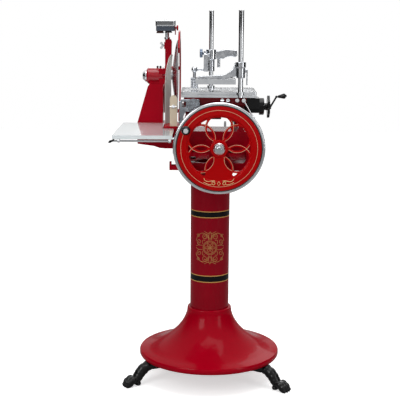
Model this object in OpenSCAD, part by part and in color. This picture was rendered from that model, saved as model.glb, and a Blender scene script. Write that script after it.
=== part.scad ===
// Flywheel deli meat slicer on a cast pedestal.
// Frame: X to the right, Y away from the operator, Z up. The origin is on the floor, on the pedestal's axis.
// The blade turns about X, the flywheel about Y, the carriage runs along Y and the meat table feeds along X.

/* [Pedestal] */
// Height of the pedestal, floor to machine
pedestal_h = 870; // [800:5:900]
// Outer radius of the column
column_r = 78; // [66:1:92]
// Wall of the column and of the bell
pedestal_wall = 7; // [5:1:9]
// Radius of the bell's rim
bell_r = 283; // [240:1:330]
// Height of the rim's lower edge above the floor
bell_lift = 93; // [86:1:100]
// Top of the bell's collar
collar_top = 290; // [250:1:330]
// Radius of the circle of the toes
toe_r = 380; // [350:1:420]
// Turn of the three feet about the column
pedestal_turn = 4; // [-10:1:10]

/* [Flywheel] */
// Radius of the painted flywheel face
wheel_r = 161; // [150:1:165]
// Radial thickness of the bright tyre
tyre_t = 12; // [6:1:13]
// Depth of the flywheel rim
wheel_depth = 30; // [22:1:32]
// Radius of the main shaft
shaft_r = 12; // [9:0.5:15]
// Radius of each ornamental ring, to the middle of its rib
petal_r = 50; // [44:1:54]
// Width of an ornamental rib
rib_w = 8; // [5:0.5:10]
// Radius of the crank grip
grip_r = 17; // [13:1:19]

/* [Blade] */
// Radius of the blade
blade_r = 150; // [125:1:152]
// Thickness of the blade at its rim
blade_t = 3; // [2:0.5:4]
// Radius of the blade shaft
blade_shaft_r = 8; // [7:0.5:8.5]
// Radius of the blade hub housing
hub_r = 33; // [30:1:38]
// Height of the blade axis above the floor
blade_z = 1204; // [1200:1:1208]

/* [Carriage] */
// Height of the rail axis
rail_z = 1068; // [1062:1:1072]
// Radius of a guide rail
rail_r = 11; // [8:0.5:13]
// Length of the meat table and its guide plate along X
table_l = 285; // [270:1:290]
// Radius of the feed screw
screw_r = 8; // [6:0.5:9]
// Radius of the front clamp post
post_r = 9.7; // [8:0.1:11]
// Top of the clamp posts
post_top = 1472; // [1420:1:1500]

/* [Tray] */
// Width of the slice tray along X
tray_w = 225; // [190:1:227]
// Length of the slice tray along Y
tray_l = 470; // [400:1:470]
// Height of the tray's folded edge
tray_edge = 14; // [10:1:16]

/* [Fits] */
// Radial clearance of a turning shaft
run = 0.05; // [0.02:0.01:0.1]
// Gap between faces that pass each other
gap = 0.6; // [0.4:0.1:1]

/* [Hidden] */
$fn = 64;
e = 1;

wheel_x = 29;
wheel_z = 963;
wheel_back = -208;
wheel_front = wheel_back - wheel_depth;
tyre_r = wheel_r + tyre_t;
petal_ring_r = 77;
hub_boss_r = 33;
grip_at = wheel_r * [-0.77, 0.45];

base_x0 = -125;
base_x1 = 155;
base_y0 = -165;
base_y1 = 345;
plate_t = 14;
wall = 9;
deck_z = 1021;
deck_t = 9;
deck_y1 = 8;
rear_z = 960;

cross_y = 280;
cross_r = 10;
cross_x0 = -246;
cross_x1 = 70;
bevel_n = 20;
bevel_r = 23;
bevel_face = 10;
sprocket_x = -240;
sprocket_t = 5;
low_sprocket_r = 24;
top_sprocket_r = 12;
crank_r = 40;
crank_disc_x = 58;
crank_disc_t = 8;

blade_y = 280;
blade_x = -150;
column_x0 = -309;
column_x1 = -198;
column_y0 = 242;
column_y1 = 330;
column_wall = 8;
housing_x0 = -268;
housing_x1 = -201;

ring_x = -134;
ring_t = 7;
ring_in = blade_r + 5;
ring_out = blade_r + 39;

rail_x = [-85, 112];
rail_y0 = -163;
rail_y1 = 372;

carriage_y0 = -160;
carriage_y1 = 110;
carriage_z0 = 1118;
carriage_x0 = -105;
carriage_x1 = 132;
guide_z = 1147.4;
guide_t = 10;
guide_x0 = carriage_x0 - 10;
screw_y = -60;
screw_z = 1107;
rocker_x = 79;
rocker_t = 10;
rocker_y = 115;
rocker_l = 170;
rocker_lean = -40;
rod_up = crank_r / sin(-rocker_lean);
rocker_z = wheel_z - rod_up * cos(rocker_lean);
rod_l = cross_y - rocker_y;

table_x0 = guide_x0;
table_z = guide_z + guide_t + gap;
table_t = 11;
table_y0 = -152;
table_y1 = 106;
front_post = [108, -168];
rear_post = [0, 88];
rear_post_r = post_r - 0.7;
post_foot_z = guide_z + 1.6;
press_z = 1198;
press_h = 20;
clamp_z = 1282;

head_x = -187;
head_y = 222;
head_z = 1390;
stone_r = 16;

tray_x0 = -371;
tray_y0 = -235;
tray_top = 1011;
tray_rod_z = tray_top - tray_edge - 8;
foot_x0 = -186;
foot_x1 = -129;
foot_y0 = blade_y - blade_r - 116;
foot_y1 = foot_y0 + 106;
guard_y = foot_y0 + 12;

// ---------- shared shapes ----------

// cylinder along X from the present origin
module xcyl(r, l, fn = 64) rotate([0, 90, 0]) cylinder(r = r, h = l, $fn = fn);
// cylinder along Y from the present origin
module ycyl(r, l, fn = 64) rotate([-90, 0, 0]) cylinder(r = r, h = l, $fn = fn);
// cone along X
module xcone(r1, r2, l) rotate([0, 90, 0]) cylinder(r1 = r1, r2 = r2, h = l);
// ring along X
module xring(ro, ri, l) difference() {
    xcyl(ro, l);
    translate([-e, 0, 0]) xcyl(ri, l + 2 * e);
}
// ring along Y
module yring(ro, ri, l) difference() {
    ycyl(ro, l);
    translate([0, -e, 0]) ycyl(ri, l + 2 * e);
}
// upright ring
module zring(ro, ri, l) difference() {
    cylinder(r = ro, h = l);
    translate([0, 0, -e]) cylinder(r = ri, h = l + 2 * e);
}
// box from one corner to the other
module block(a, b) translate(a) cube(b - a);
// flat rectangle with round corners, from one corner to the other
module round_rect(a, b, r) {
    translate([a[0] + r, a[1]]) square([b[0] - a[0] - 2 * r, b[1] - a[1]]);
    translate([a[0], a[1] + r]) square([b[0] - a[0], b[1] - a[1] - 2 * r]);
    for (x = [a[0] + r, b[0] - r], y = [a[1] + r, b[1] - r]) translate([x, y]) circle(r = r, $fn = 32);
}
// upright block with round upright edges
module round_block(a, b, r) translate([0, 0, a[2]]) linear_extrude(b[2] - a[2]) round_rect(a, b, r);
// a flat XZ outline, given as children, as a plate between y0 and y1
module xz_plate(y0, y1) translate([0, y1, 0]) rotate([90, 0, 0]) linear_extrude(y1 - y0) children();
// a flat YZ outline, given as children, as a plate between x0 and x1
module yz_plate(x0, x1) translate([x0, 0, 0]) rotate([90, 0, 90]) linear_extrude(x1 - x0) children();
// hexagon bolt standing on its tip, head up
module hex_bolt(r, l, head) {
    cylinder(r = r, h = l, $fn = 32);
    translate([0, 0, l]) cylinder(r = 1.8 * r, h = head, $fn = 6);
}
// points of an arc
function arc(c, r, a0, a1, n) = [for (i = [0:n]) c + r * [cos(a0 + (a1 - a0) * i / n),
    sin(a0 + (a1 - a0) * i / n)]];

// ---------- pedestal ----------

paint = "firebrick";
bright = "gainsboro";
dark = "#202022";

foot_angles = [for (i = [-1, 1, 3]) i * 60 - 90 - pedestal_turn];
flange_r = column_r + 34;
flange_t = 14;
column_top = pedestal_h - flange_t;
machine_bolt_r = 6;
machine_bolt_at = flange_r - 14;
foot_bolt_r = 5;
hip_r0 = bell_r - 82;
hip_r1 = bell_r - 12;
bell_skin = 10;

// outer profile of the bell, from the rim to the collar, with the same flare for any size
collar_r = column_r + 11;
function bell_out() = let (w = bell_r - collar_r, z0 = bell_lift + 24, h = collar_top - 8 - z0)
    concat([[bell_r - 3, bell_lift], [bell_r, bell_lift + 5], [bell_r, bell_lift + 17], [bell_r - 3,
        bell_lift + 22]],
        [for (i = [1:16]) let (t = i / 16) [collar_r + w * pow(1 - t, 1.6) * (1 - 0.02 * t),
            z0 + h * pow(t, 1.5)]]);

module pedestal_bell() color(paint) {
    outer = bell_out();
    top = len(outer) - 1;
    inner = [for (i = [top:-1:3]) [outer[i][0] - bell_skin * 0.6, outer[i][1] - bell_skin]];
    difference() {
        rotate_extrude($fn = 128) polygon(concat(
            outer,
            arc([column_r + 6, collar_top - 5], 5, 0, 90, 5),
            [[column_r + gap / 2, collar_top], [column_r + gap / 2, collar_top - 60], [column_r - 8,
                collar_top - 60],
             [column_r - 8, collar_top - 72]],
            [for (p = inner) if (p[1] < collar_top - 78) p],
            [[bell_r - bell_skin, bell_lift + 12], [bell_r - bell_skin, bell_lift]]));
    }
    // three bosses that the feet bolt up to
    for (a = foot_angles) rotate(a) difference() {
        translate([0, 0, bell_lift + 4]) linear_extrude(8)
            round_rect([hip_r0, -32], [bell_r - bell_skin + 2, 32], 8);
        for (y = [-20, 20]) translate([hip_r0 + 16, y, bell_lift]) cylinder(r = foot_bolt_r + gap / 2,
            h = 40, $fn = 32);
    }
}

module pedestal_column() color(paint) difference() {
    union() {
        translate([0, 0, collar_top - 60]) zring(column_r, column_r - pedestal_wall,
            column_top - collar_top + 61);
        translate([0, 0, column_top]) cylinder(r = flange_r, h = flange_t);
        translate([0, 0, column_top - 10]) cylinder(r1 = column_r, r2 = column_r + 10, h = 11);
    }
    translate([0, 0, column_top - 11]) cylinder(r = column_r - pedestal_wall, h = 40);
    for (a = [45:90:315]) rotate(a) translate([machine_bolt_at, 0, column_top - e])
        cylinder(r = machine_bolt_r + gap / 2, h = flange_t + 2 * e, $fn = 32);
}

// side view of a paw foot: r along the radius, z up
module paw_side() polygon(concat(
    [[hip_r0, bell_lift + 4], [hip_r0 + 2, bell_lift - 32]],
    arc([hip_r0 + 46, bell_lift - 22], 34, 225, 315, 6),
    [[toe_r - 88, 42], [toe_r - 78, 30], [toe_r - 76, 6], [toe_r - 72, 0], [toe_r - 8, 0]],
    arc([toe_r - 13, 16], 14, -60, 70, 6),
    [[toe_r - 26, 46], [toe_r - 52, 66], [toe_r - 74, bell_lift - 14], [hip_r1 + 14, bell_lift - 3],
     [hip_r1, bell_lift - 1], [hip_r1, bell_lift + 4]]));

// top view of a paw foot
module paw_plan() {
    round_rect([hip_r0, -31], [hip_r1, 31], 10);
    polygon([[hip_r1 - 12, -31], [hip_r1 + 18, -17], [toe_r - 66, -17], [toe_r - 54, -29], [toe_r - 22, -29],
        [toe_r - 22, 29], [toe_r - 54, 29], [toe_r - 66, 17], [hip_r1 + 18, 17], [hip_r1 - 12, 31]]);
    for (y = [-20, -7, 7, 20]) translate([toe_r - 16 - abs(y) * 0.3, y]) circle(r = 9.5);
}

module foot(i) color(dark) rotate(foot_angles[i]) difference() {
    intersection() {
        translate([0, 40, 0]) rotate([90, 0, 0]) linear_extrude(80) paw_side();
        linear_extrude(bell_lift + 10) paw_plan();
    }
    // bolt holes, spot-faced from below for the nuts
    for (y = [-20, 20]) translate([hip_r0 + 16, y, 0]) {
        cylinder(r = foot_bolt_r + gap / 2, h = 200, $fn = 32);
        cylinder(r = 2 * foot_bolt_r, h = bell_lift - 24, $fn = 32);
    }
}

module foot_front_left() foot(0);
module foot_front_right() foot(1);
module foot_rear() foot(2);

// a bolt and nut that clamp the layers from z0 to z1; its head is above
module clamp_bolt(r, z0, z1) {
    translate([0, 0, z0 - 8]) hex_bolt(r, z1 - z0 + 8, 7);
    translate([0, 0, z0 - 6]) cylinder(r = 1.8 * r, h = 6, $fn = 6);
}
module pedestal_bolts() color("dimgray") {
    for (a = foot_angles, y = [-20, 20]) rotate(a) translate([hip_r0 + 16, y, 0])
        clamp_bolt(foot_bolt_r, bell_lift - 24, bell_lift + 12);
    for (a = [45:90:315]) rotate(a) translate([machine_bolt_at, 0, 0])
        clamp_bolt(machine_bolt_r, column_top, floor_z);
}

// ---------- machine base ----------

bush_t = 3;
seat_r = shaft_r + bush_t;
lug_w = 34;

floor_z = pedestal_h + plate_t;

// foot plate with its hooked lugs at the corners
module base_floor() difference() {
    union() {
        round_block([base_x0, base_y0, pedestal_h], [base_x1, base_y1, floor_z], 10);
        for (y = [base_y0 - 6, base_y1 - 44]) {
            round_block([base_x0 - lug_w, y, pedestal_h + 2], [base_x0 + 20, y + 50, pedestal_h + 30], 8);
            round_block([base_x1 - 20, y, pedestal_h + 2], [base_x1 + 14, y + 50, pedestal_h + 30], 8);
        }
    }
    for (y = [base_y0 - 6, base_y1 - 44])
        block([base_x0 - lug_w + 8, y - e, pedestal_h + 18], [base_x0 - 5, y + 50 + e, pedestal_h + 40]);
}

// front wall outline with the two low windows
module front_wall() difference() {
    round_rect([base_x0, pedestal_h], [base_x1, deck_z], 5);
    for (x = [[base_x0 + 22, wheel_x - 36], [wheel_x + 36, base_x1 - 22]])
        round_rect([x[0], floor_z + 16], [x[1], 948], 14);
}

// side wall outline: high under the front rails, then swept down to the rear
module side_wall() polygon(concat(
    [[base_y0 + 4, pedestal_h], [base_y1, pedestal_h], [base_y1, rear_z]],
    arc([deck_y1 + 60, deck_z], deck_z - rear_z, 270, 180, 8),
    [[base_y0 + 4, deck_z]]));

rail_stand_t = 12;
stand_r = rail_r + 6;
module rail_stand(x, y, z0) xz_plate(y, y + rail_stand_t) {
    translate([x, rail_z]) circle(r = stand_r);
    translate([x - 9, z0 - 2]) square([18, rail_z - z0 + 2]);
    translate([x - 14, z0 - 2]) square([28, 9]);
}

module base_casting() color(paint) difference() {
    union() {
        difference() {
            union() {
                base_floor();
                xz_plate(base_y0, base_y0 + wall) front_wall();
                for (x = [base_x0, base_x1 - wall]) yz_plate(x, x + wall) side_wall();
                block([base_x0 + e, base_y1 - wall, pedestal_h], [base_x1 - e, base_y1, rear_z]);
                block([base_x0 + e, base_y0 + e, deck_z - deck_t], [base_x1 - e, deck_y1, deck_z]);
                // rib and boss round the front bearing
                block([wheel_x - 14, base_y0 + 2, pedestal_h], [wheel_x + 14, base_y0 + 24, deck_z - 2]);
            }
            // the inside above the floor stays open behind the lugs
            for (y = [base_y0 + wall, base_y1 - 60])
                block([base_x0 + wall, y + 24, floor_z], [base_x1 - wall, y + 50, floor_z + 60]);
        }
        translate([wheel_x, base_y0 - 12, wheel_z]) ycyl(seat_r + 14, 40);
        for (x = rail_x) {
            rail_stand(x, rail_y0, deck_z);
            rail_stand(x, base_y1 - rail_stand_t, rear_z);
        }
    }
    translate([wheel_x, base_y0 - 20, wheel_z]) ycyl(seat_r, 60);
    for (x = rail_x) translate([x, rail_y0 - e, rail_z]) ycyl(rail_r, 600);
    // the cross shaft leaves through the left wall into the blade column
    translate([base_x0 - e, cross_y, wheel_z]) xcyl(cross_r + 4, wall + 2 * e);
    for (a = [45:90:315]) rotate(a) translate([machine_bolt_at, 0, pedestal_h - e])
        cylinder(r = machine_bolt_r + gap / 2, h = 60, $fn = 32);
    translate([0, 0, pedestal_h - e]) cylinder(r = column_r - pedestal_wall - 12, h = plate_t + 2 * e);
}

column_outline = [[column_x0, 1000], [column_x0 + 7, 1022], [-262, 1160], [-254, 1172],
    [column_x1, 1172], [column_x1, 1000]];

module column_side() {
    polygon(column_outline);
    polygon([[column_x0, 1001], [column_x0 + 4, 921], [-236, 912], [-212, 904], [-190, 902], [base_x0, 902],
        [base_x0, 1006], [column_x1, 1012]]);
}

// the same outline drawn in by the wall
module column_hollow() {
    w = column_wall;
    polygon([[column_x0 + w, 1002], [column_x0 + 16, 1020], [-262 + w, 1156], [column_x1 - w, 1156],
        [column_x1 - w, 1002]]);
    polygon([[column_x0 + w, 1003], [column_x0 + w + 3, 930], [-234, 921], [-208, 912], [-190, 910],
        [base_x0 + 5, 910],
        [base_x0 + 5, 998], [column_x1 - w, 1003]]);
}

module blade_column() color(paint) difference() {
    union() {
        xz_plate(column_y0, column_y1) column_side();
        // post that carries the sharpener, behind the blade's back
        xz_plate(column_y0 + 14, column_y0 + 50) polygon([[-190, 1225], [-190, 1356], [-166, 1356],
            [-162, 1346],
            [-163, 1292], [-172, 1262], [-174, 1225]]);
        translate([-194, column_y0 + 32, 1330]) xcyl(15, 20);
        xz_plate(column_y0 + 6, column_y1 - 6) polygon([[-216, 1170], [-216, 1236], [-176, 1236], [-176,
            1170]]);
        // cradle under the hub housing
        block([-256, blade_y - 25, 1160], [-200, blade_y + 25, 1182]);
    }
    xz_plate(column_y0 + column_wall, column_y1 - column_wall) column_hollow();
    translate([housing_x0 - e, blade_y, blade_z]) xcyl(hub_r, 200);
    translate([sprocket_x - 8, blade_y - 21, 1150]) cube([sprocket_t + 16, 42, 60]);
    translate([-200, column_y0 + 32, 1330]) xcyl(3.05, 60, 32);
}

module hub_housing() color(paint) difference() {
    union() {
        translate([housing_x0, blade_y, blade_z]) xcone(hub_r - 7, hub_r, 7);
        translate([housing_x0 + 7, blade_y, blade_z]) xcyl(hub_r, housing_x1 - housing_x0 - 7);
        translate([housing_x1, blade_y, blade_z]) xcone(hub_r, hub_r - 4, 6);
        translate([housing_x1 + 6, blade_y, blade_z]) xcone(hub_r, hub_r - 15, 26);
    }
    translate([housing_x0 - e, blade_y, blade_z]) xcyl(blade_shaft_r + bush_t, 120);
    // room for the chain and its wheel
    translate([sprocket_x - 7, blade_y, blade_z]) xcyl(top_sprocket_r + 8, sprocket_t + 14);
    block([sprocket_x - 7, blade_y - 23, blade_z - 60], [sprocket_x + sprocket_t + 7, blade_y + 23, blade_z]);
    for (x = [-222, -210]) translate([x, blade_y, blade_z]) cylinder(r = 2.5, h = 60, $fn = 24);
}

module hub_end_cap() color(bright) difference() {
    union() {
        translate([housing_x0 - 5, blade_y, blade_z]) xcyl(hub_r - 8, 5);
        translate([housing_x0 - 16, blade_y, blade_z]) xcone(14, hub_r - 10, 11);
    }
    translate([housing_x0 - 9, blade_y, blade_z]) xcyl(blade_shaft_r + 2, 20);
}

module oil_cups() color(dark) for (x = [-222, -210]) translate([x, blade_y, blade_z + hub_r - 12]) {
    cylinder(r = 2.4, h = 14, $fn = 24);
    translate([0, 0, 12.5]) cylinder(r = 3.4, h = 4, $fn = 24);
    translate([0, 0, 16]) sphere(r = 4.6, $fn = 24);
}

// bearing blocks bolted to the base plate: one on the main shaft, two on the cross shaft
main_block_y = 196;
cross_blocks = [-70, 48.5];
cross_block_t = 9;

module shaft_bearings() color("slategray") {
    // bracket and pin of the rocker arm
    block([rocker_x - 20, rocker_y - 16, floor_z], [rocker_x - 6, rocker_y + 16, rocker_z]);
    translate([rocker_x - 20, rocker_y, rocker_z]) xcyl(16, 14);
    translate([rocker_x - 12, rocker_y, rocker_z]) xcyl(rocker_pin_r - run, 24 + rocker_t, 32);
    difference() {
        union() {
            block([wheel_x - 22, main_block_y, floor_z], [wheel_x + 22, main_block_y + 18, wheel_z]);
            translate([wheel_x, main_block_y, wheel_z]) ycyl(22, 18);
        }
        translate([wheel_x, main_block_y - e, wheel_z]) ycyl(seat_r, 20);
    }
    for (x = cross_blocks) difference() {
        union() {
            block([x, cross_y - 15, floor_z], [x + cross_block_t, cross_y + 15, wheel_z]);
            translate([x, cross_y, wheel_z]) xcyl(16.5, cross_block_t);
        }
        translate([x - e, cross_y, wheel_z]) xcyl(cross_r + bush_t, 20);
    }
}

// bronze bushes: two on each shaft
module shaft_bushes() color("peru") {
    translate([wheel_x, base_y0 - 12, wheel_z]) yring(seat_r, shaft_r + run, 40);
    translate([wheel_x, main_block_y, wheel_z]) yring(seat_r, shaft_r + run, 18);
    for (x = cross_blocks) translate([x, cross_y, wheel_z]) xring(cross_r + bush_t, cross_r + run,
        cross_block_t);
    for (x = [housing_x0, housing_x1 + 2]) translate([x, blade_y, blade_z])
        xring(blade_shaft_r + bush_t, blade_shaft_r + run, 20);
}

// roller chain as a closed loop that clears both chain wheels
module chain_line(grow) {
    d = blade_z - wheel_z;
    a = asin((low_sprocket_r - top_sprocket_r) / d);
    r0 = low_sprocket_r + grow;
    r1 = top_sprocket_r + grow;
    polygon(concat(
        arc([blade_y, blade_z], r1, a, 180 - a, 16),
        arc([cross_y, wheel_z], r0, 180 - a, 360 + a, 24)));
}

module drive_chain() color("dimgray") yz_plate(sprocket_x, sprocket_x + sprocket_t) difference() {
    chain_line(5);
    chain_line(1);
}

// ---------- rails ----------

module guide_rails() color(bright) for (x = rail_x) translate([x, rail_y0, rail_z]) ycyl(rail_r,
    rail_y1 - rail_y0);

// ---------- slice tray and guards ----------

notch_y = foot_y0 - 4;
tray_x1 = tray_x0 + tray_w;
tray_skin = 2;

module tray_plan(inset = 0) {
    i = inset;
    polygon([[tray_x0 + i, tray_y0 + i], [tray_x1 - i, tray_y0 + i], [tray_x1 - i, notch_y - i],
        [foot_x0 - 5 - i, notch_y - i], [foot_x0 - 5 - i, tray_y0 + tray_l - i],
        [tray_x0 + 8 + i, tray_y0 + tray_l - i]]);
}
module slice_tray() color("whitesmoke") difference() {
    translate([0, 0, tray_top - tray_edge]) linear_extrude(tray_edge) tray_plan();
    translate([0, 0, tray_top - tray_edge - e]) linear_extrude(tray_edge - tray_skin + e) tray_plan(tray_skin);
}

rod_r = 4;
turn_x = tray_x1 - 8;
tray_rods_y = [tray_y0 + 12, tray_y0 + tray_l - 16];
module tray_rod() color(bright) {
    // the front rod turns back past the flywheel to the base, the rear rod runs straight to the column
    translate([tray_x0 - 4, tray_rods_y[0], tray_rod_z]) xcyl(rod_r, turn_x - tray_x0 + 4);
    translate([turn_x, tray_rods_y[0], tray_rod_z]) sphere(r = rod_r);
    translate([turn_x, tray_rods_y[0], tray_rod_z]) ycyl(rod_r, base_y0 + 20 - tray_rods_y[0]);
    translate([turn_x, base_y0 + 20, tray_rod_z]) sphere(r = rod_r);
    translate([turn_x, base_y0 + 20, tray_rod_z]) xcyl(rod_r, base_x0 - turn_x);
    translate([tray_x0 - 4, tray_rods_y[1], tray_rod_z]) xcyl(rod_r, 90);
    translate([tray_x0 + 86, tray_rods_y[1], tray_rod_z]) sphere(r = rod_r);
    translate([tray_x0 + 86, tray_rods_y[1], tray_rod_z]) ycyl(rod_r, column_y0 - tray_rods_y[1]);
    // round rests under the tray's top skin
    for (p = [[tray_x0 + 24, tray_rods_y[0]], [tray_x1 - 10, tray_rods_y[0]], [tray_x0 + 24, tray_rods_y[1]]])
        translate([p[0], p[1], tray_rod_z]) {
            cylinder(r = 6, h = tray_top - tray_skin - tray_rod_z, $fn = 32);
            sphere(r = 6.9, $fn = 32);
        }
}

module tray_catches() color(dark) for (y = [tray_y0 + 4, tray_y0 + tray_l - 24]) {
    difference() {
        xz_plate(y, y + 16) polygon([[tray_x0 - 12, tray_top - 22], [tray_x0 + 8, tray_top - tray_edge - 1],
            [tray_x0 + 8, tray_top - 20], [tray_x0 - 6, tray_top - 29], [tray_x0 - 14, tray_top - 29]]);
        translate([tray_x0 - 20, y + 8, tray_rod_z]) xcyl(rod_r + 0.2, 60);
    }
}

module guard_foot() color(paint) difference() {
    union() {
        round_block([foot_x0, foot_y0, 988], [foot_x1, foot_y1, 1019], 9);
        block([foot_x0 + 20, foot_y0 + 12, 970], [base_x0, foot_y1 - 20, 1012]);
    }
    // screw holes up into the deflector and the front guard
    for (y = [guard_y + 6, foot_y1 - 16]) translate([-150, y, 960]) cylinder(r = 2.5, h = 100, $fn = 24);
}

// the deflector is a bent sheet whose front edge follows the blade's rim
deflector_top = 1296;
deflector_t = 2;
function blade_front(z) = let (d = z - blade_z)
    abs(d) < blade_r ? blade_y - sqrt(blade_r * blade_r - d * d) : blade_y;
function deflector_station(z) =
    let (t = min(1, max(0, (deflector_top - z) / (deflector_top - 1150))),
         s = sqrt(1 - (1 - t) * (1 - t)),
         y = z > 1140 ? blade_front(z) : blade_front(1140))
    [[-157 - 6 * s, y + 16], [-160 - 26 * s, y - 26 * s - 2]];
module slice_deflector() color("lightgray") {
    zs = concat([for (i = [0:8]) deflector_top - i * i * 2.3], [1120, 1080, 1040, 1019]);
    n = len(zs);
    pts = [for (z = zs) let (s = deflector_station(z)) each
        [[s[0][0], s[0][1], z], [s[1][0], s[1][1], z],
         [s[1][0] + deflector_t, s[1][1] - 0.4, z], [s[0][0] + deflector_t, s[0][1] - 0.4, z]]];
    faces = concat(
        [[0, 1, 2], [0, 2, 3]],
        [for (i = [0:n - 2], k = [0:3]) let (m = (k + 1) % 4) each
            [[4 * i + k, 4 * i + 4 + k, 4 * i + 4 + m], [4 * i + k, 4 * i + 4 + m, 4 * i + m]]],
        [[4 * n - 1, 4 * n - 2, 4 * n - 3], [4 * n - 1, 4 * n - 3, 4 * n - 4]]);
    polyhedron(points = pts, faces = faces, convexity = 4);
}

front_guard_w = 29;
module front_guard() color("antiquewhite") difference() {
    xz_plate(guard_y, guard_y + 12) {
        translate([-163, 1019]) square([front_guard_w, 108]);
        translate([-163 + front_guard_w / 2, 1127]) circle(r = front_guard_w / 2);
    }
    translate([-163 + front_guard_w / 2, guard_y - e, 1097]) ycyl(3, 20, 32);
}

module guard_pin() color(bright) translate([-163 + front_guard_w / 2, guard_y, 1097]) {
    translate([0, -3, 0]) ycyl(7, 3);
    translate([0, -8, 0]) ycyl(4.5, 6);
    ycyl(3 - run, 12, 32);
    translate([0, -7, 0]) xcyl(2, 13.5, 24);
    translate([-16, -7, 0]) xcyl(2, 18, 24);
}

// C-shaped guard round the back and top of the blade
module ring_profile() difference() {
    translate([blade_y, blade_z]) circle(r = ring_out, $fn = 96);
    translate([blade_y, blade_z]) circle(r = ring_in, $fn = 96);
    // the front is open to the meat
    polygon([[blade_y, blade_z], [blade_y - 400, blade_z + 330], [blade_y - 400, blade_z - 400],
        [blade_y - 60, blade_z - 400]]);
}
module blade_ring_guard() color(paint) difference() {
    union() {
        yz_plate(ring_x, ring_x + ring_t) ring_profile();
        // two arms reach back to the column
        for (a = [8, -62]) translate([0, blade_y + (ring_in + 20) * cos(a),
            blade_z + (ring_in + 20) * sin(a)])
            translate([column_x1, 0, 0]) xcyl(8, ring_x + 2 - column_x1);
        hull() {
            for (a = [8, -62]) translate([column_x1, blade_y + (ring_in + 20) * cos(a),
                blade_z + (ring_in + 20) * sin(a)])
                xcyl(8, 8, 24);
            translate([column_x1, column_y1 - 10, 1130]) xcyl(14, 8, 24);
        }
    }
}

// ---------- sharpener ----------

head_w = 76;
head_d = 56;
head_h = 42;
lever_z = head_z + 13;
spindle_r = 4;
stone_x = [head_x - 22, head_x + 12];

module sharpener_post() color(bright) {
    translate([-182, head_y + 52, 1356]) cylinder(r = 8, h = 60);
    translate([-182, head_y + 52, 1356]) cylinder(r = 12, h = 8);
}

post_bore = [-182, head_y + 52];
head_x0 = head_x - head_w / 2;
head_x1 = head_x + head_w / 2;
head_y0 = head_y - head_d / 2;
head_y1 = head_y + head_d / 2;
module head_box() round_block([head_x0, head_y0, head_z], [head_x1, head_y1 + 42, head_z + head_h - 10], 6);
module sharpener_head() color("slategray") difference() {
    union() {
        difference() {
            head_box();
            block([head_x0 + 5, head_y0 + 5, head_z - e], [head_x1 - 5, head_y1 - 4, head_z + head_h - 16]);
        }
        // bosses of the two spindles
        for (x = stone_x) translate([x, head_y, head_z + 12]) cylinder(r = 8, h = head_h - 26);
    }
    for (x = stone_x) translate([x, head_y, head_z - e]) cylinder(r = spindle_r + run, h = head_h);
    translate([post_bore[0], post_bore[1], head_z - e]) cylinder(r = 8 + run, h = head_h);
    translate([head_x1 - 5 - e, head_y, lever_z]) xcyl(3 + run, 10, 32);
}

module sharpener_cover() color(bright) difference() {
    union() {
        round_block([head_x0 - 2, head_y0 - 2, head_z + head_h - 22], [head_x1 + 2, head_y1 + 44,
            head_z + head_h], 8);
        translate([head_x, head_y + 8, head_z + head_h - e]) cylinder(r = 4, h = 5, $fn = 32);
    }
    head_box();
    translate([post_bore[0], post_bore[1], head_z - e]) cylinder(r = 9, h = head_h - 2);
}

// a stone on its spindle
module stone(x, wheel_t) translate([x, head_y, 0]) {
    translate([0, 0, head_z + 1]) cylinder(r = spindle_r, h = head_h - 18);
    translate([0, 0, head_z - wheel_t]) cylinder(r1 = stone_r, r2 = stone_r - 3, h = wheel_t);
    translate([0, 0, head_z - e]) cylinder(r = stone_r - 6, h = 3);
}
module grinding_stone() color("sienna") stone(stone_x[0], 9);
module honing_stone() color("dimgray") stone(stone_x[1], 7);

module sharpener_lever() color(paint) translate([head_x1, head_y, lever_z]) {
    translate([-4, 0, 0]) xcyl(3, 12, 32);
    translate([7, 0, 0]) xcyl(9, 2);
    translate([9, 0, 0]) xcyl(11, 4);
    translate([13, 0, 0]) xcone(11, 9, 1.5);
    // short arm that hangs from the knob's shaft
    translate([gap, 0, 0]) xcyl(6, 4, 32);
    translate([gap, -3, -28]) cube([4, 6, 28]);
}

module wing_screw() color(bright) translate([-194, column_y0 + 32, 1330]) {
    translate([-6, 0, 0]) xcyl(3, 17, 32);
    translate([-8, 0, 0]) xcyl(5.5, 6, 32);
    for (s = [-1, 1]) translate([-12, 0, 9 * s]) rotate([90, 0, 0]) translate([0, 0,
        -1.5]) cylinder(r = 5.5, h = 3, $fn = 32);
    translate([-12, -1.5, -9]) cube([7, 3, 18]);
}

// ---------- flywheel ----------

module petal(a, r) rotate(a) translate([petal_ring_r, 0]) circle(r = r);
wheel_in = petal_ring_r + petal_r - 10;

// face of the flywheel, seen from the front
module wheel_face() {
    difference() {
        circle(r = wheel_r - 2, $fn = 128);
        circle(r = wheel_in, $fn = 128);
    }
    circle(r = hub_boss_r);
    for (a = [30:60:330]) intersection() {
        circle(r = wheel_in + e);
        difference() {
            petal(a, petal_r + rib_w / 2);
            petal(a, petal_r - rib_w / 2);
        }
    }
    // the lowest ring is a solid web
    difference() {
        intersection() {
            circle(r = wheel_in + e);
            union() {
                petal(270, petal_r + rib_w / 2);
                polygon([[0, 0], [-wheel_r * 0.52, -wheel_r], [wheel_r * 0.52, -wheel_r]]);
            }
        }
        for (a = [210, 330]) petal(a, petal_r - rib_w / 2);
    }
}

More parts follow.
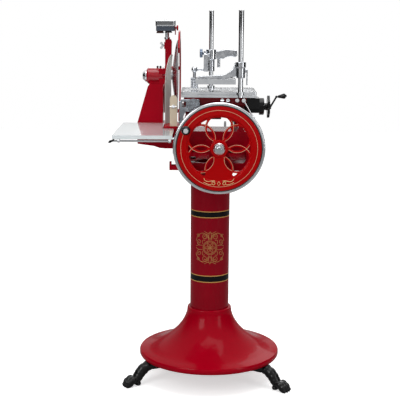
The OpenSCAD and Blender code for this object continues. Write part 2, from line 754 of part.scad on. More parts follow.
module flywheel() color("red") translate([wheel_x, wheel_back, wheel_z]) difference() {
    union() {
        translate([0, 4 - wheel_depth, 0]) rotate([-90, 0, 0]) mirror([0, 1,
            0]) linear_extrude(9) wheel_face();
        difference() {
            union() {
                translate([0, -wheel_depth + 3, 0]) ycyl(wheel_r, wheel_depth - 3);
                translate([0, -wheel_depth, 0]) rotate([-90, 0, 0]) cylinder(r1 = wheel_r - 4,
                    r2 = wheel_r, h = 3, $fn = 64);
            }
            translate([0, -wheel_depth - e, 0]) ycyl(wheel_in + 6, wheel_depth + 2 * e);
            translate([0, 13 - wheel_depth, 0]) ycyl(wheel_r - 12, wheel_depth);
        }
        translate([0, -wheel_depth, 0]) ycyl(hub_boss_r, wheel_depth + 12);
    }
    translate([0, -wheel_depth - 20, 0]) ycyl(shaft_r, wheel_depth + 60);
    translate([grip_at[0], -wheel_depth - e, grip_at[1]]) ycyl(6, 30, 32);
}

module flywheel_tyre() color(bright) translate([wheel_x, wheel_back, wheel_z]) difference() {
    union() {
        translate([0, -wheel_depth + 7, 0]) ycyl(tyre_r, wheel_depth - 10, 128);
        translate([0, -wheel_depth + 4, 0]) rotate([-90, 0, 0]) cylinder(r1 = tyre_r - 3, r2 = tyre_r,
            h = 3, $fn = 128);
        translate([0, -3, 0]) rotate([-90, 0, 0]) cylinder(r1 = tyre_r, r2 = tyre_r - 3, h = 3, $fn = 128);
    }
    translate([0, -wheel_depth - e, 0]) ycyl(wheel_r, wheel_depth + 2 * e, 64);
}

module flywheel_nut() color(bright) translate([wheel_x, wheel_front - 0.05, wheel_z]) difference() {
    union() {
        translate([0, -4, 0]) ycyl(22, 4);
        translate([0, -9, 0]) rotate([-90, 0, 0]) cylinder(r1 = 17, r2 = 21, h = 5);
        translate([0, -19, 0]) ycyl(9, 11);
    }
    translate([0, -15, 0]) ycyl(shaft_r - 5, 20);
}

pinion_y = cross_y - bevel_r - bevel_face;

module main_shaft() color("silver") translate([wheel_x, 0, wheel_z]) {
    translate([0, wheel_front, 0]) ycyl(shaft_r, pinion_y + bevel_face - wheel_front);
    translate([0, wheel_front - 14, 0]) ycyl(shaft_r - 5, 15);
    // collars that hold the shaft endways
    translate([0, main_block_y - 10, 0]) ycyl(shaft_r + 7, 9.5);
}

// straight-toothed bevel wheel about Z with its cone's apex at the origin; the teeth taper to the apex
module bevel(n, r, face, bore) difference() {
    m = 2 * r / n;
    union() {
        translate([0, 0, -r]) cylinder(r1 = r - 1.6 * m, r2 = r - face - 1.2 * m, h = face, $fn = 48);
        translate([0, 0, -r - 9]) cylinder(r = r - 6, h = 9.5);
        difference() {
            for (i = [0:n - 1]) rotate(i * 360 / n) {
                k = (r - face) / r;
                a = 0.30 * PI * m / 2;
                b = 0.56 * PI * m / 2;
                s = 0.7071;
                polyhedron(points = [
                    [r + 0.7 * m * s, -a, -r + 0.7 * m * s], [r + 0.7 * m * s, a, -r + 0.7 * m * s],
                    [r - 2.2 * m * s, b, -r - 1.2 * m * s], [r - 2.2 * m * s, -b, -r - 1.2 * m * s],
                    k * [r + 0.7 * m * s, -a, -r + 0.7 * m * s], k * [r + 0.7 * m * s, a, -r + 0.7 * m * s],
                    k * [r - 2.2 * m * s, b, -r - 1.2 * m * s], k * [r - 2.2 * m * s, -b, -r - 1.2 * m * s]],
                    faces = [[0, 1, 2, 3], [7, 6, 5, 4], [0, 4, 5, 1], [1, 5, 6, 2], [2, 6, 7, 3], [3, 7,
                        4, 0]]);
            }
        }
    }
    translate([0, 0, -r - 20]) cylinder(r = bore, h = 60);
}

module bevel_pinion() color("steelblue") translate([wheel_x, cross_y, wheel_z]) rotate([-90, 0, 0])
    bevel(bevel_n, bevel_r, bevel_face, shaft_r);
module bevel_gear() color("steelblue") translate([wheel_x, cross_y, wheel_z]) rotate([0, 90,
    0]) rotate(180 / bevel_n)
    bevel(bevel_n, bevel_r, bevel_face, cross_r);

// chain wheel in the YZ plane
module sprocket(n, r) yz_plate(0, sprocket_t) difference() {
    circle(r = r);
    for (i = [0:n - 1]) rotate(i * 360 / n) translate([r + 0.6, 0]) circle(r = 2.6, $fn = 24);
}

module cross_shaft() color("silver") {
    translate([cross_x0, cross_y, wheel_z]) xcyl(cross_r, cross_x1 - cross_x0);
    translate([sprocket_x, cross_y, wheel_z]) sprocket(24, low_sprocket_r);
    for (x = [cross_blocks[0] - 7, cross_blocks[0] + cross_block_t + 0.5]) translate([x, cross_y,
        wheel_z]) xcyl(cross_r + 6, 6.5);
}

module crank_disc() color("slategray") {
    difference() {
        translate([crank_disc_x + 1.5, cross_y, wheel_z]) xcyl(crank_r + 12, crank_disc_t);
        translate([crank_disc_x, cross_y, wheel_z]) xcyl(cross_r, 30);
        for (a = [180:40:360]) rotate_crank(a) translate([crank_disc_x, 30, 0]) xcyl(6.5, 30, 32);
    }
    // the pin ends just short of the rod's eye
    rotate_crank(90) translate([crank_disc_x + 1.5, crank_r, 0]) xcyl(6,
        rocker_x + rocker_t - crank_disc_x - 1.5);
}
module rotate_crank(a) translate([0, cross_y, wheel_z]) rotate([a + 90, 0, 0]) children();

module crank_pin() color(bright) translate([wheel_x + grip_at[0], wheel_front, wheel_z + grip_at[1]]) {
    translate([0, -58, 0]) ycyl(6, 80, 32);
    translate([0, -6, 0]) ycyl(11, 6);
    translate([0, -61, 0]) ycyl(9, 3.5);
}

module crank_grip() color(dark) translate([wheel_x + grip_at[0], wheel_front - 7, wheel_z + grip_at[1]])
    rotate([90, 0, 0]) difference() {
        rotate_extrude() polygon(concat(
            [[6 + run, 0], [grip_r - 5, 0], [grip_r - 3, 3], [grip_r - 5, 10], [grip_r - 4, 20]],
            arc([grip_r - 12, 36], 12, -40, 70, 8),
            [[9.5, 50], [6 + run, 50]]));
    }

// ---------- blade ----------

// the rim is a hollow-ground knife edge, and the web is dished away from the meat
module blade() color("silver") translate([blade_x, blade_y, blade_z]) rotate([0, 90,
    0]) rotate_extrude($fn = 128) polygon([
    [blade_shaft_r, -10], [30, -10], [34, -9.5], [blade_r - 30, 3], [blade_r - 8, 9], [blade_r, 12],
        [blade_r, 12.4],
    [blade_r - 12, 12.4], [blade_r - 14, 11], [blade_r - 30, 3 + blade_t + 1], [36, -9.5 + blade_t + 1],
        [30, -6],
    [blade_shaft_r, -6]]);

module blade_shaft() color("silver") {
    translate([housing_x0 - 6, blade_y, blade_z]) xcyl(blade_shaft_r, blade_x - housing_x0 + 5);
    translate([blade_x - 17.5, blade_y, blade_z]) xcyl(16, 7.5);
    translate([blade_x - 6, blade_y, blade_z]) xcyl(24, 4);
    translate([blade_x - 2.2, blade_y, blade_z]) xcone(12, 9, 5);
    translate([sprocket_x, blade_y, blade_z]) sprocket(12, top_sprocket_r);
}

// ---------- carriage drive ----------

rocker_pin_r = 7;
drive_pin_r = 5.5;
drive_pin_y = rocker_y + rocker_l * sin(rocker_lean);
module at_rocker() translate([rocker_x, rocker_y, rocker_z]) children();
// the arm leans to the front at rest; its outline is drawn in the YZ plane from the pivot
module rocker_arm() color("slategray") at_rocker() rotate([-rocker_lean, 0, 0]) {
    difference() {
        union() {
            yz_plate(0, rocker_t) {
                circle(r = 14);
                translate([-8, 0]) square([16, rocker_l]);
                translate([0, rocker_l]) circle(r = 11);
                translate([0, rod_up]) circle(r = 14);
            }
            translate([-4, 0, 0]) xcyl(14, 5);
            translate([rocker_t - 2, 0, rocker_l]) xcyl(drive_pin_r, 12, 32);
        }
        translate([-10, 0, 0]) xcyl(rocker_pin_r, 40, 32);
        translate([-4, 0, rod_up]) xcyl(5.05, 40, 32);
        yz_plate(-1, rocker_t + 1) {
            translate([-3.5, rod_up + 30]) square([7, rocker_l - rod_up - 56]);
            for (y = [rod_up + 30, rocker_l - 26]) translate([0, y]) circle(r = 3.5, $fn = 32);
        }
    }
}

rod_pin = [rocker_y + rod_up * sin(rocker_lean), rocker_z + rod_up * cos(rocker_lean)];
module connecting_rod() color("slategray") translate([rocker_x + rocker_t + gap, rod_pin[0],
    rod_pin[1]]) difference() {
    union() {
        yz_plate(0, 7) {
            circle(r = 12);
            translate([0, -6]) square([rod_l, 12]);
            translate([rod_l, 0]) circle(r = 12);
        }
        translate([-rocker_t - 2 * gap - 3, 0, 0]) xcyl(5, 12 + rocker_t, 32);
    }
    translate([-e, rod_l, 0]) xcyl(6.05, 10, 32);
}

// ---------- carriage ----------

bearing_w = 28;
module carriage_frame() color("darkred") difference() {
    union() {
        block([carriage_x0, carriage_y0, carriage_z0], [carriage_x1, carriage_y0 + 12, guide_z]);
        block([carriage_x0, carriage_y1 - 12, carriage_z0], [carriage_x1, carriage_y1, guide_z]);
        for (x = [carriage_x0, carriage_x1 - 12]) block([x, carriage_y0, carriage_z0], [x + 12,
            carriage_y1, guide_z]);
        block([carriage_x0 + 2, screw_y - 17, screw_z - 17], [carriage_x0 + 18, screw_y + 17, guide_z - 4]);
        block([carriage_x1 - 18, screw_y - 17, screw_z - 17], [carriage_x1, screw_y + 17, guide_z - 4]);
        // yoke for the rocker's pin, on a bar from the right side
        block([rocker_x + rocker_t + 2, drive_pin_y - 18, rail_z - 40], [rocker_x + rocker_t + 9,
            drive_pin_y + 18, carriage_z0 + 8]);
        block([rocker_x + rocker_t + 2, drive_pin_y - 18, carriage_z0], [carriage_x1 - 4,
            drive_pin_y + 18, carriage_z0 + 10]);
        // lug under the front bar
        block([-8, carriage_y0 + 3, 1066], [37, carriage_y0 + 30, carriage_z0 + 8]);
        // four bearings that run on the rails
        for (x = rail_x, y = [carriage_y0 + 22, carriage_y1 - 46]) {
            translate([x, y, rail_z]) ycyl(bearing_w / 2 + 3, 34);
            block([x - 11, y, rail_z], [x + 11, y + 34, carriage_z0 + 6]);
            block([x - 20, y, carriage_z0], [x + 20, y + 34, carriage_z0 + 10]);
        }
    }
    for (x = rail_x, y = [carriage_y0 + 10, carriage_y1 - 60]) translate([x, y,
        rail_z]) ycyl(rail_r + run, 70);
    translate([carriage_x0 - e, screw_y, screw_z]) xcyl(screw_r + run, 300);
    for (x = front_bolts) translate([x, carriage_y0 - e, bolt_z]) ycyl(4, 14, 32);
    // the pin rises and falls in the yoke's slot as the rocker swings
    translate([rocker_x + rocker_t, 0, 0]) yz_plate(0, 12) {
        translate([drive_pin_y - drive_pin_r - 5, rail_z - 30]) square([2 * drive_pin_r + 10, 60]);
    }
}

front_bolts = [40, 62, 97];
bolt_z = 1138;
// bright bolts along the carriage's front
module carriage_bolts() color(bright) for (x = front_bolts) translate([x, carriage_y0 - 5, bolt_z]) {
    ycyl(7, 5, 32);
    translate([0, -2.5, 0]) ycyl(5, 3, 32);
    ycyl(4, 16, 32);
}

screw_slot = [[-88, screw_y - 10], [118, screw_y + 10]];
grooves = [carriage_y0 + 34, carriage_y1 - 44];
module guide_plate() color(bright) difference() {
    block([guide_x0, carriage_y0 + 4, guide_z], [guide_x0 + table_l, carriage_y1 - 4, guide_z + guide_t]);
    // the nut's slot, and two grooves that guide the table
    round_block([screw_slot[0][0], screw_slot[0][1], guide_z - e], [screw_slot[1][0], screw_slot[1][1],
        guide_z + guide_t + e], 6);
    for (y = grooves) block([guide_x0 - e, y, guide_z + 5], [guide_x0 + table_l + e, y + 10,
        guide_z + guide_t + e]);
}

box_x1 = 185;
drum_r = 33;
module feed_box() {
    color(dark) difference() {
        round_box_x(carriage_x1 + 0.1, box_x1, [screw_y - 38, screw_z - 22], [screw_y + 38, guide_z - 5], 4);
        translate([carriage_x1 - 5, screw_y, screw_z]) xcyl(screw_r + run, 100);
    }
    color(bright) translate([box_x1 + 0.1, screw_y, screw_z + 1]) difference() {
        union() {
            xcyl(drum_r, 17);
            translate([17, 0, 0]) xcone(drum_r, drum_r - 4, 2);
        }
        translate([-e, 0, -1]) xcyl(screw_r + run, 40);
    }
}
// block with round long edges, between two X planes
module round_box_x(x0, x1, a, b, r) yz_plate(x0, x1) round_rect(a, b, r);

bracket_x0 = -122;
module index_bracket() color(bright) {
    xz_plate(carriage_y0 - 8, carriage_y0 - 0.1) difference() {
        polygon([[bracket_x0, 1034], [bracket_x0, 1132], [bracket_x0 + 8, 1141], [-46, 1141], [-44,
            1112], [-60, 1096],
            [-98, 1094], [bracket_x0 + 16, 1078], [bracket_x0 + 15, 1030], [bracket_x0 + 6, 1026]]);
        polygon([[bracket_x0 + 10, 1110], [bracket_x0 + 11, 1132], [bracket_x0 + 26, 1132],
            [bracket_x0 + 24, 1112]]);
        translate([-69, 1118]) circle(r = 6.05);
    }
    translate([bracket_x0 + 7, carriage_y0 - 4, 1033]) rotate([90, 0, 0]) cylinder(r = 7.5, h = 7.5);
}

dial_r = 26;
module thickness_dial() color(bright) translate([-69, 0, 1118]) {
    translate([0, carriage_y0 - 14, 0]) yring(dial_r, dial_r - 4, 5.4);
    translate([0, carriage_y0 - 11, 0]) ycyl(dial_r - 3, 2.4);
    translate([0, carriage_y0 - 17, 0]) ycyl(8, 8);
    translate([0, carriage_y0 - 12, 0]) ycyl(6, 11.9, 32);
    for (a = [0:60:300]) rotate([0, a, 0]) translate([15, carriage_y0 - 13, 0]) ycyl(3, 3, 24);
}

lever_at = [121, 1138];
module release_lever() color(bright) translate([lever_at[0], carriage_y0 - 5.6, lever_at[1]]) {
    translate([0, -3, 0]) ycyl(7.5, 8, 32);
    rotate([0, 60, 0]) translate([0, 1, 0]) xcyl(3, 74, 32);
    rotate([0, 60, 0]) translate([76, 1, 0]) sphere(r = 5.5, $fn = 32);
}

// ---------- meat table ----------

table_x1 = table_x0 + table_l;
nut_x = -72;
module meat_table() color("silver") difference() {
    union() {
        round_block([table_x0, table_y0, table_z], [table_x1, table_y1, table_z + table_t], 6);
        // front ear and bosses that carry the posts
        block([front_post[0] - 15, front_post[1], table_z], [front_post[0] + 15, table_y0 + 12,
            table_z + table_t]);
        translate([front_post[0], front_post[1], table_z]) cylinder(r = post_r + 5, h = table_t);
        translate([rear_post[0], rear_post[1], table_z]) cylinder(r = rear_post_r + 6, h = table_t + 8);
        // keel through the slot, with the nut round the screw
        block([nut_x - 12, screw_y - 8, screw_z], [nut_x + 12, screw_y + 8, table_z + 2]);
        translate([nut_x - 12, screw_y, screw_z]) xcyl(screw_r + 6, 24);
        // runners in the grooves
        for (y = grooves) block([table_x0 + 8, y + 1, guide_z + 6], [table_x1 - 8, y + 9, table_z + 2]);
    }
    translate([nut_x - 20, screw_y, screw_z]) xcyl(screw_r + run, 60);
    translate([front_post[0], front_post[1], table_z - 30]) cylinder(r = post_r, h = 200);
    translate([rear_post[0], rear_post[1], table_z + 2]) cylinder(r = rear_post_r, h = 200);
    // shallow grooves along the table top
    for (y = [table_y0 + 20:20:table_y1 - 40]) block([table_x0 + 12, y, table_z + table_t - 1.5],
        [table_x1 - 12, y + 3, table_z + 40]);
}

module clamp_posts() color(bright) {
    translate([front_post[0], front_post[1], post_foot_z]) cylinder(r = post_r,
        h = post_top - 3 - post_foot_z);
    translate([front_post[0], front_post[1], post_top - 3]) cylinder(r = post_r + 1, h = 3);
    translate([rear_post[0], rear_post[1], table_z + 2]) cylinder(r = rear_post_r,
        h = post_top - 5 - table_z);
    translate([rear_post[0], rear_post[1], post_top - 3]) cylinder(r = rear_post_r + 1, h = 3);
}

screw_x1 = 216;
module feed_screw() color("silver") {
    translate([carriage_x0 - 6, screw_y, screw_z]) xcyl(screw_r, screw_x1 - carriage_x0 + 6);
    translate([carriage_x0 - 9, screw_y, screw_z]) xcyl(screw_r + 4, 7.5);
}

wheel_hub_x = 206;
feed_wheel_r = 43;
handle_x = 246;
module feed_wheel() color(dark) {
    translate([wheel_hub_x, screw_y, screw_z]) xring(14, screw_r, 12);
    difference() {
        translate([216, screw_y, screw_z]) {
            xcyl(feed_wheel_r - 5, 10);
            for (a = [0:60:300]) rotate([a, 0, 0]) translate([0, 0, feed_wheel_r - 10]) xcyl(10, 10);
        }
        for (a = [30:60:330]) translate([215, screw_y, screw_z]) rotate([a, 0, 0]) translate([0, 0,
            feed_wheel_r]) xcyl(8, 14);
    }
    // bent arm and the pin of the handle
    translate([226 - e, screw_y, screw_z]) xcyl(10, 7);
    translate([230, screw_y, screw_z]) rotate([0, 30, 0]) cylinder(r = 3.5, h = 47, $fn = 32);
    translate([handle_x + 6, screw_y, screw_z + 38]) sphere(r = 5, $fn = 32);
    at_handle() {
        xcyl(2.8, 39, 24);
        translate([37, 0, 0]) xcyl(4.5, 2.5, 24);
    }
}
module at_handle() translate([handle_x + 6, screw_y, screw_z + 38]) rotate([0, -6, 0]) children();

module feed_grip() color(dark) at_handle() translate([6, 0, 0]) rotate([0, 90,
    0]) rotate_extrude() polygon(concat(
    [[2.8 + run, 0], [4.5, 0], [5.5, 2], [7, 10]], arc([3.5, 23], 7, -25, 75, 8), [[4.6, 30.4],
        [2.8 + run, 30.4]]));

// ---------- clamps ----------

// outline of the swept arm, from the collar down onto the press plate
arm_z = press_z + press_h;
module arm_side() polygon(concat(
    [[99, arm_z + 14], [78, arm_z + 6], [56, arm_z + 1], [30, arm_z], [-52, arm_z], [-57, arm_z + 4],
        [-50, arm_z + 10]],
    [[-7, arm_z + 12], [24, arm_z + 14]],
    arc([33, arm_z + 66], 52, -80, -8, 10),
    [[99, arm_z + 62]]));
press_x0 = -61;
press_x1 = 90;
press_y0 = front_post[1] - 2;
press_y1 = -62;
arm_collar_r = post_r + 7;
module press_arm() color(bright) difference() {
    union() {
        translate([front_post[0], front_post[1], arm_z + 4]) cylinder(r = arm_collar_r, h = 60);
        translate([front_post[0], front_post[1], arm_z + 44]) cylinder(r = arm_collar_r + 3, h = 20);
        xz_plate(front_post[1] - 2, front_post[1] + 12) arm_side();
        // clamp lever on the collar
        translate([front_post[0] + 6, front_post[1], arm_z + 32]) xcyl(7, 20, 32);
        translate([front_post[0] + 21, front_post[1] - 4, arm_z - 22]) cube([5, 8, 60]);
    }
    translate([front_post[0], front_post[1], 1100]) cylinder(r = post_r + run, h = 400);
}

// pressing plate: a shallow box, open below
module press_plate() color("whitesmoke") difference() {
    block([press_x0, press_y0, press_z], [press_x1, press_y1, press_z + press_h]);
    block([press_x0 + 4, press_y0 + 4, press_z - e], [press_x1 - 4, press_y1 - 4, press_z + press_h - 4]);
}

gripper_y = -24;
star_at = [rear_post[0] - 34, rear_post[1], clamp_z + 22];
module clamp_bracket() color(bright) difference() {
    union() {
        translate([rear_post[0], rear_post[1], 1234]) cylinder(r = rear_post_r + 5, h = 50);
        translate([rear_post[0], rear_post[1], clamp_z]) cylinder(r = rear_post_r + 12, h = 38);
        block([star_at[0] + 4, star_at[1] - 10, clamp_z + 12], [rear_post[0], star_at[1] + 10, clamp_z + 32]);
        // pin that hangs by the bracket
        translate([30, rear_post[1] - 6, 1250]) cylinder(r = 6, h = 50, $fn = 32);
        // arched arm to the right
        xz_plate(rear_post[1] - 12, rear_post[1] + 4) polygon(concat([[4, 1288], [30, 1284]],
            arc([76, 1252], 42, 130, 70, 8), [[97, 1291], [104, 1298], [102, 1318], [60, 1321], [30,
                1314], [4, 1316]]));
        // forward arm down to the gripper above the table
        block([-30, gripper_y, 1288], [-12, rear_post[1] + 4, 1304]);
        block([-30, gripper_y, 1238], [-12, gripper_y + 16, 1304]);
        translate([-66, gripper_y + 8, 1246]) xcyl(5, 44, 32);
        translate([-66, gripper_y + 8, 1246]) sphere(r = 12, $fn = 48);
        translate([-66, gripper_y + 8, 1206]) cylinder(r = 6, h = 34, $fn = 32);
        // toothed gripper plate
        block([-80, gripper_y + 4, 1174], [-52, gripper_y + 10, 1216]);
        for (x = [-76, -66, -56], z = [1179:10:1209]) translate([x, gripper_y + 5, z]) rotate([90, 0, 0])
            cylinder(r1 = 3.6, r2 = 0.5, h = 8, $fn = 24);
    }
    translate([rear_post[0], rear_post[1], 1100]) cylinder(r = rear_post_r + run, h = 500);
    translate([star_at[0], star_at[1], star_at[2]]) xcyl(5.05, 30, 32);
}

module star_grip() color(dark) translate(star_at) {
    translate([-2, 0, 0]) xcyl(5, 24, 32);
    translate([-12, 0, 0]) xcyl(13, 12);
    for (a = [0:72:288]) rotate([a, 0, 0]) translate([-11, 0, 12]) xcyl(6, 10, 32);
}

pedestal_bell();
pedestal_column();
foot_front_left();
foot_front_right();
foot_rear();
pedestal_bolts();
base_casting();
blade_column();
hub_housing();
hub_end_cap();
oil_cups();
shaft_bearings();
shaft_bushes();
drive_chain();
guide_rails();
slice_tray();
tray_rod();
tray_catches();
guard_foot();
slice_deflector();
front_guard();
guard_pin();
blade_ring_guard();
sharpener_post();
sharpener_head();
sharpener_cover();
grinding_stone();
honing_stone();
sharpener_lever();
wing_screw();
flywheel();
flywheel_tyre();
flywheel_nut();
main_shaft();
bevel_pinion();
crank_pin();
crank_grip();
cross_shaft();
bevel_gear();
crank_disc();
blade();
blade_shaft();
rocker_arm();
connecting_rod();
carriage_frame();
carriage_bolts();
guide_plate();
feed_box();
index_bracket();
thickness_dial();
release_lever();
meat_table();
clamp_posts();
feed_screw();
feed_wheel();
feed_grip();
press_arm();
press_plate();
clamp_bracket();
star_grip();
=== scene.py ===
import math

import bmesh
import bpy
from mathutils import Matrix, Vector


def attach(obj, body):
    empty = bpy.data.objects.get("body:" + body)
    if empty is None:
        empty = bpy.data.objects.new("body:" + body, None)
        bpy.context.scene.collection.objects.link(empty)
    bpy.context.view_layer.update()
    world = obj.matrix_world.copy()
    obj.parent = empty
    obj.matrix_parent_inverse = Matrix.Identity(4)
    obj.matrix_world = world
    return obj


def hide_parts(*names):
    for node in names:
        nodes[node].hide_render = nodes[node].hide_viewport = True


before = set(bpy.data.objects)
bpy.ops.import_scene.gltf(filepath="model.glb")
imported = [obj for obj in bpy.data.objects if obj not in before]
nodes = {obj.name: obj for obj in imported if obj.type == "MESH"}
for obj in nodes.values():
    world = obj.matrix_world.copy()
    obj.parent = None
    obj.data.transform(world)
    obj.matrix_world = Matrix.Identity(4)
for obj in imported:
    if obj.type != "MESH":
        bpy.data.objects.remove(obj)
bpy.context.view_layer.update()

mm = 0.001

# ---------- Studio ----------
# A long lens nearly four metres in front of the machine, above its carriage, tipped down by ten degrees.
# Pale floor, one large soft light from the left, a weaker one from the right, one overhead and one behind.

camera = bpy.data.objects.new("camera", bpy.data.cameras.new("camera"))
bpy.context.scene.collection.objects.link(camera)
camera.data.lens = 89.1
camera.data.clip_end = 60
camera.location = (-0.0458, -3.9, 1.435)
camera.rotation_euler = (math.radians(90 - 10.3), math.radians(-0.4), 0)
bpy.context.scene.camera = camera
bpy.context.scene.view_settings.view_transform = "Standard"


def soft_light(name, place, target, size, watts):
    lamp = bpy.data.objects.new(name, bpy.data.lights.new(name, "AREA"))
    lamp.data.shape = "RECTANGLE"
    lamp.data.size, lamp.data.size_y = size
    lamp.data.energy = watts
    lamp.location = place
    lamp.rotation_euler = (Vector(target) - Vector(place)).to_track_quat("-Z", "Y").to_euler()
    bpy.context.scene.collection.objects.link(lamp)


soft_light("key", (-2.4, -3.2, 2.6), (0, 0, 0.9), (1.6, 2.2), 60)
soft_light("fill", (2.9, -2.4, 1.7), (0, 0, 0.8), (0.8, 2.4), 22)
soft_light("top", (0.2, -0.3, 3.6), (0, 0, 0.9), (2.2, 2.2), 45)
soft_light("back", (0.6, 3.2, 2.4), (0, 0, 0.9), (2.4, 1.6), 30)

world = bpy.data.worlds.new("studio")
bpy.context.scene.world = world
world.use_nodes = True
sky = world.node_tree
sky.nodes.clear()


def put(tree, kind, **settings):
    """adds a node; settings that are socket names set the socket, the others set the node"""
    node = tree.nodes.new(kind)
    for key, value in settings.items():
        name = key.replace("_", " ")
        if name in node.inputs:
            node.inputs[name].default_value = value
        elif key[:2] == "in" and key[2:].isdigit():
            node.inputs[int(key[2:])].default_value = value
        else:
            setattr(node, key, value)
    return node


def join(tree, *pairs):
    for source, target in pairs:
        tree.links.new(source, target)


where = put(sky, "ShaderNodeTexCoord")
split = put(sky, "ShaderNodeSeparateXYZ")
side = put(sky, "ShaderNodeMath", operation="ABSOLUTE")
# what polished metal mirrors: bright walls, a little dimmer in front, dark cloths at the sides, a light ceiling
walls = put(sky, "ShaderNodeMapRange", From_Min=-0.75, From_Max=0.35, To_Min=0.80, To_Max=1.0,
            interpolation_type="SMOOTHSTEP")
cloths = put(sky, "ShaderNodeMapRange", From_Min=0.62, From_Max=0.90, To_Min=1.0, To_Max=0.03,
             interpolation_type="SMOOTHSTEP")
room = put(sky, "ShaderNodeMath", operation="MULTIPLY")
ceiling = put(sky, "ShaderNodeMapRange", From_Min=0.30, From_Max=0.75, To_Min=0.0, To_Max=0.9,
              interpolation_type="SMOOTHSTEP")
most = put(sky, "ShaderNodeMath", operation="MAXIMUM")
# two dark upright slits and a dark shelf at eye level draw thin lines in round and rounded metal
slit = put(sky, "ShaderNodeMath", operation="COMPARE", in1=0.30, in2=0.055)
shelf = put(sky, "ShaderNodeMath", operation="COMPARE", in1=0.04, in2=0.05)
lines = put(sky, "ShaderNodeMath", operation="MAXIMUM")
kept = put(sky, "ShaderNodeMapRange", From_Min=0.0, From_Max=1.0, To_Min=1.0, To_Max=0.12)
lined = put(sky, "ShaderNodeMath", operation="MULTIPLY")
seen = put(sky, "ShaderNodeLightPath")
mirror_sky = put(sky, "ShaderNodeBackground", Strength=0.8)
white_sky = put(sky, "ShaderNodeBackground", Color=(1.0, 1.0, 1.0, 1), Strength=1.0)
either = put(sky, "ShaderNodeMixShader")
out = put(sky, "ShaderNodeOutputWorld")
join(sky, (where.outputs["Generated"], split.inputs[0]), (split.outputs["X"], side.inputs[0]),
     (split.outputs["Y"], walls.inputs["Value"]), (side.outputs[0], cloths.inputs["Value"]),
     (split.outputs["Z"], ceiling.inputs["Value"]), (walls.outputs[0], room.inputs[0]),
     (cloths.outputs[0], room.inputs[1]), (side.outputs[0], slit.inputs[0]),
     (split.outputs["Z"], shelf.inputs[0]), (slit.outputs[0], lines.inputs[0]),
     (shelf.outputs[0], lines.inputs[1]), (lines.outputs[0], kept.inputs["Value"]), (room.outputs[0], lined.inputs[0]),
     (kept.outputs[0], lined.inputs[1]), (lined.outputs[0], most.inputs[0]),
     (ceiling.outputs[0], most.inputs[1]), (most.outputs[0], mirror_sky.inputs["Color"]),
     (seen.outputs["Is Camera Ray"], either.inputs[0]), (mirror_sky.outputs[0], either.inputs[1]),
     (white_sky.outputs[0], either.inputs[2]), (either.outputs[0], out.inputs["Surface"]))

floor_mesh = bpy.data.meshes.new("floor")
floor_mesh.from_pydata([(x, y, 0) for x, y in ((-9, -9), (9, -9), (9, 9), (-9, 9))], [], [(0, 1, 2, 3)])
floor = bpy.data.objects.new("floor", floor_mesh)
bpy.context.scene.collection.objects.link(floor)
paper = bpy.data.materials.new("pale_floor")
paper.use_nodes = True
tree = paper.node_tree
skin = tree.nodes["Principled BSDF"]
skin.inputs["Roughness"].default_value = 0.75
skin.inputs["Specular IOR Level"].default_value = 0.2
skin.inputs["Emission Color"].default_value = (1, 1, 1, 1)
speck = put(tree, "ShaderNodeTexNoise", Scale=3.0, Detail=4.0)
tone = put(tree, "ShaderNodeMapRange", To_Min=0.86, To_Max=0.9)
# the paper is lit white to the eye, and sends less light up into the enamel
eye = put(tree, "ShaderNodeLightPath")
glow = put(tree, "ShaderNodeMath", operation="MULTIPLY", in1=0.55)
shade = put(tree, "ShaderNodeMapRange", To_Min=0.42, To_Max=1.0)
pale = put(tree, "ShaderNodeMath", operation="MULTIPLY")
join(tree, (speck.outputs[0], tone.inputs["Value"]), (eye.outputs["Is Camera Ray"], shade.inputs["Value"]),
     (eye.outputs["Is Camera Ray"], glow.inputs[0]), (glow.outputs[0], skin.inputs["Emission Strength"]),
     (tone.outputs[0], pale.inputs[0]), (shade.outputs[0], pale.inputs[1]),
     (pale.outputs[0], skin.inputs["Base Color"]))
floor_mesh.materials.append(paper)


# ---------- Pedestal bell ----------
# Flared cast-iron bell under the column, hollow below, with a rolled rim and a plain collar. It is filled,
# rubbed down and sprayed with crimson enamel under a thin clear coat, with a faint orange-peel ripple.

def group(name, inputs, outputs):
    """a shader group with its named sockets; kind F is a number, V a vector, C a colour"""
    kinds = {"F": "NodeSocketFloat", "V": "NodeSocketVector", "C": "NodeSocketColor"}
    made = bpy.data.node_groups.new(name, "ShaderNodeTree")
    for label, kind, value in inputs:
        made.interface.new_socket(label, in_out="INPUT", socket_type=kinds[kind]).default_value = value
    for label, kind in outputs:
        made.interface.new_socket(label, in_out="OUTPUT", socket_type=kinds[kind])
    return made, made.nodes.new("NodeGroupInput").outputs, made.nodes.new("NodeGroupOutput").inputs


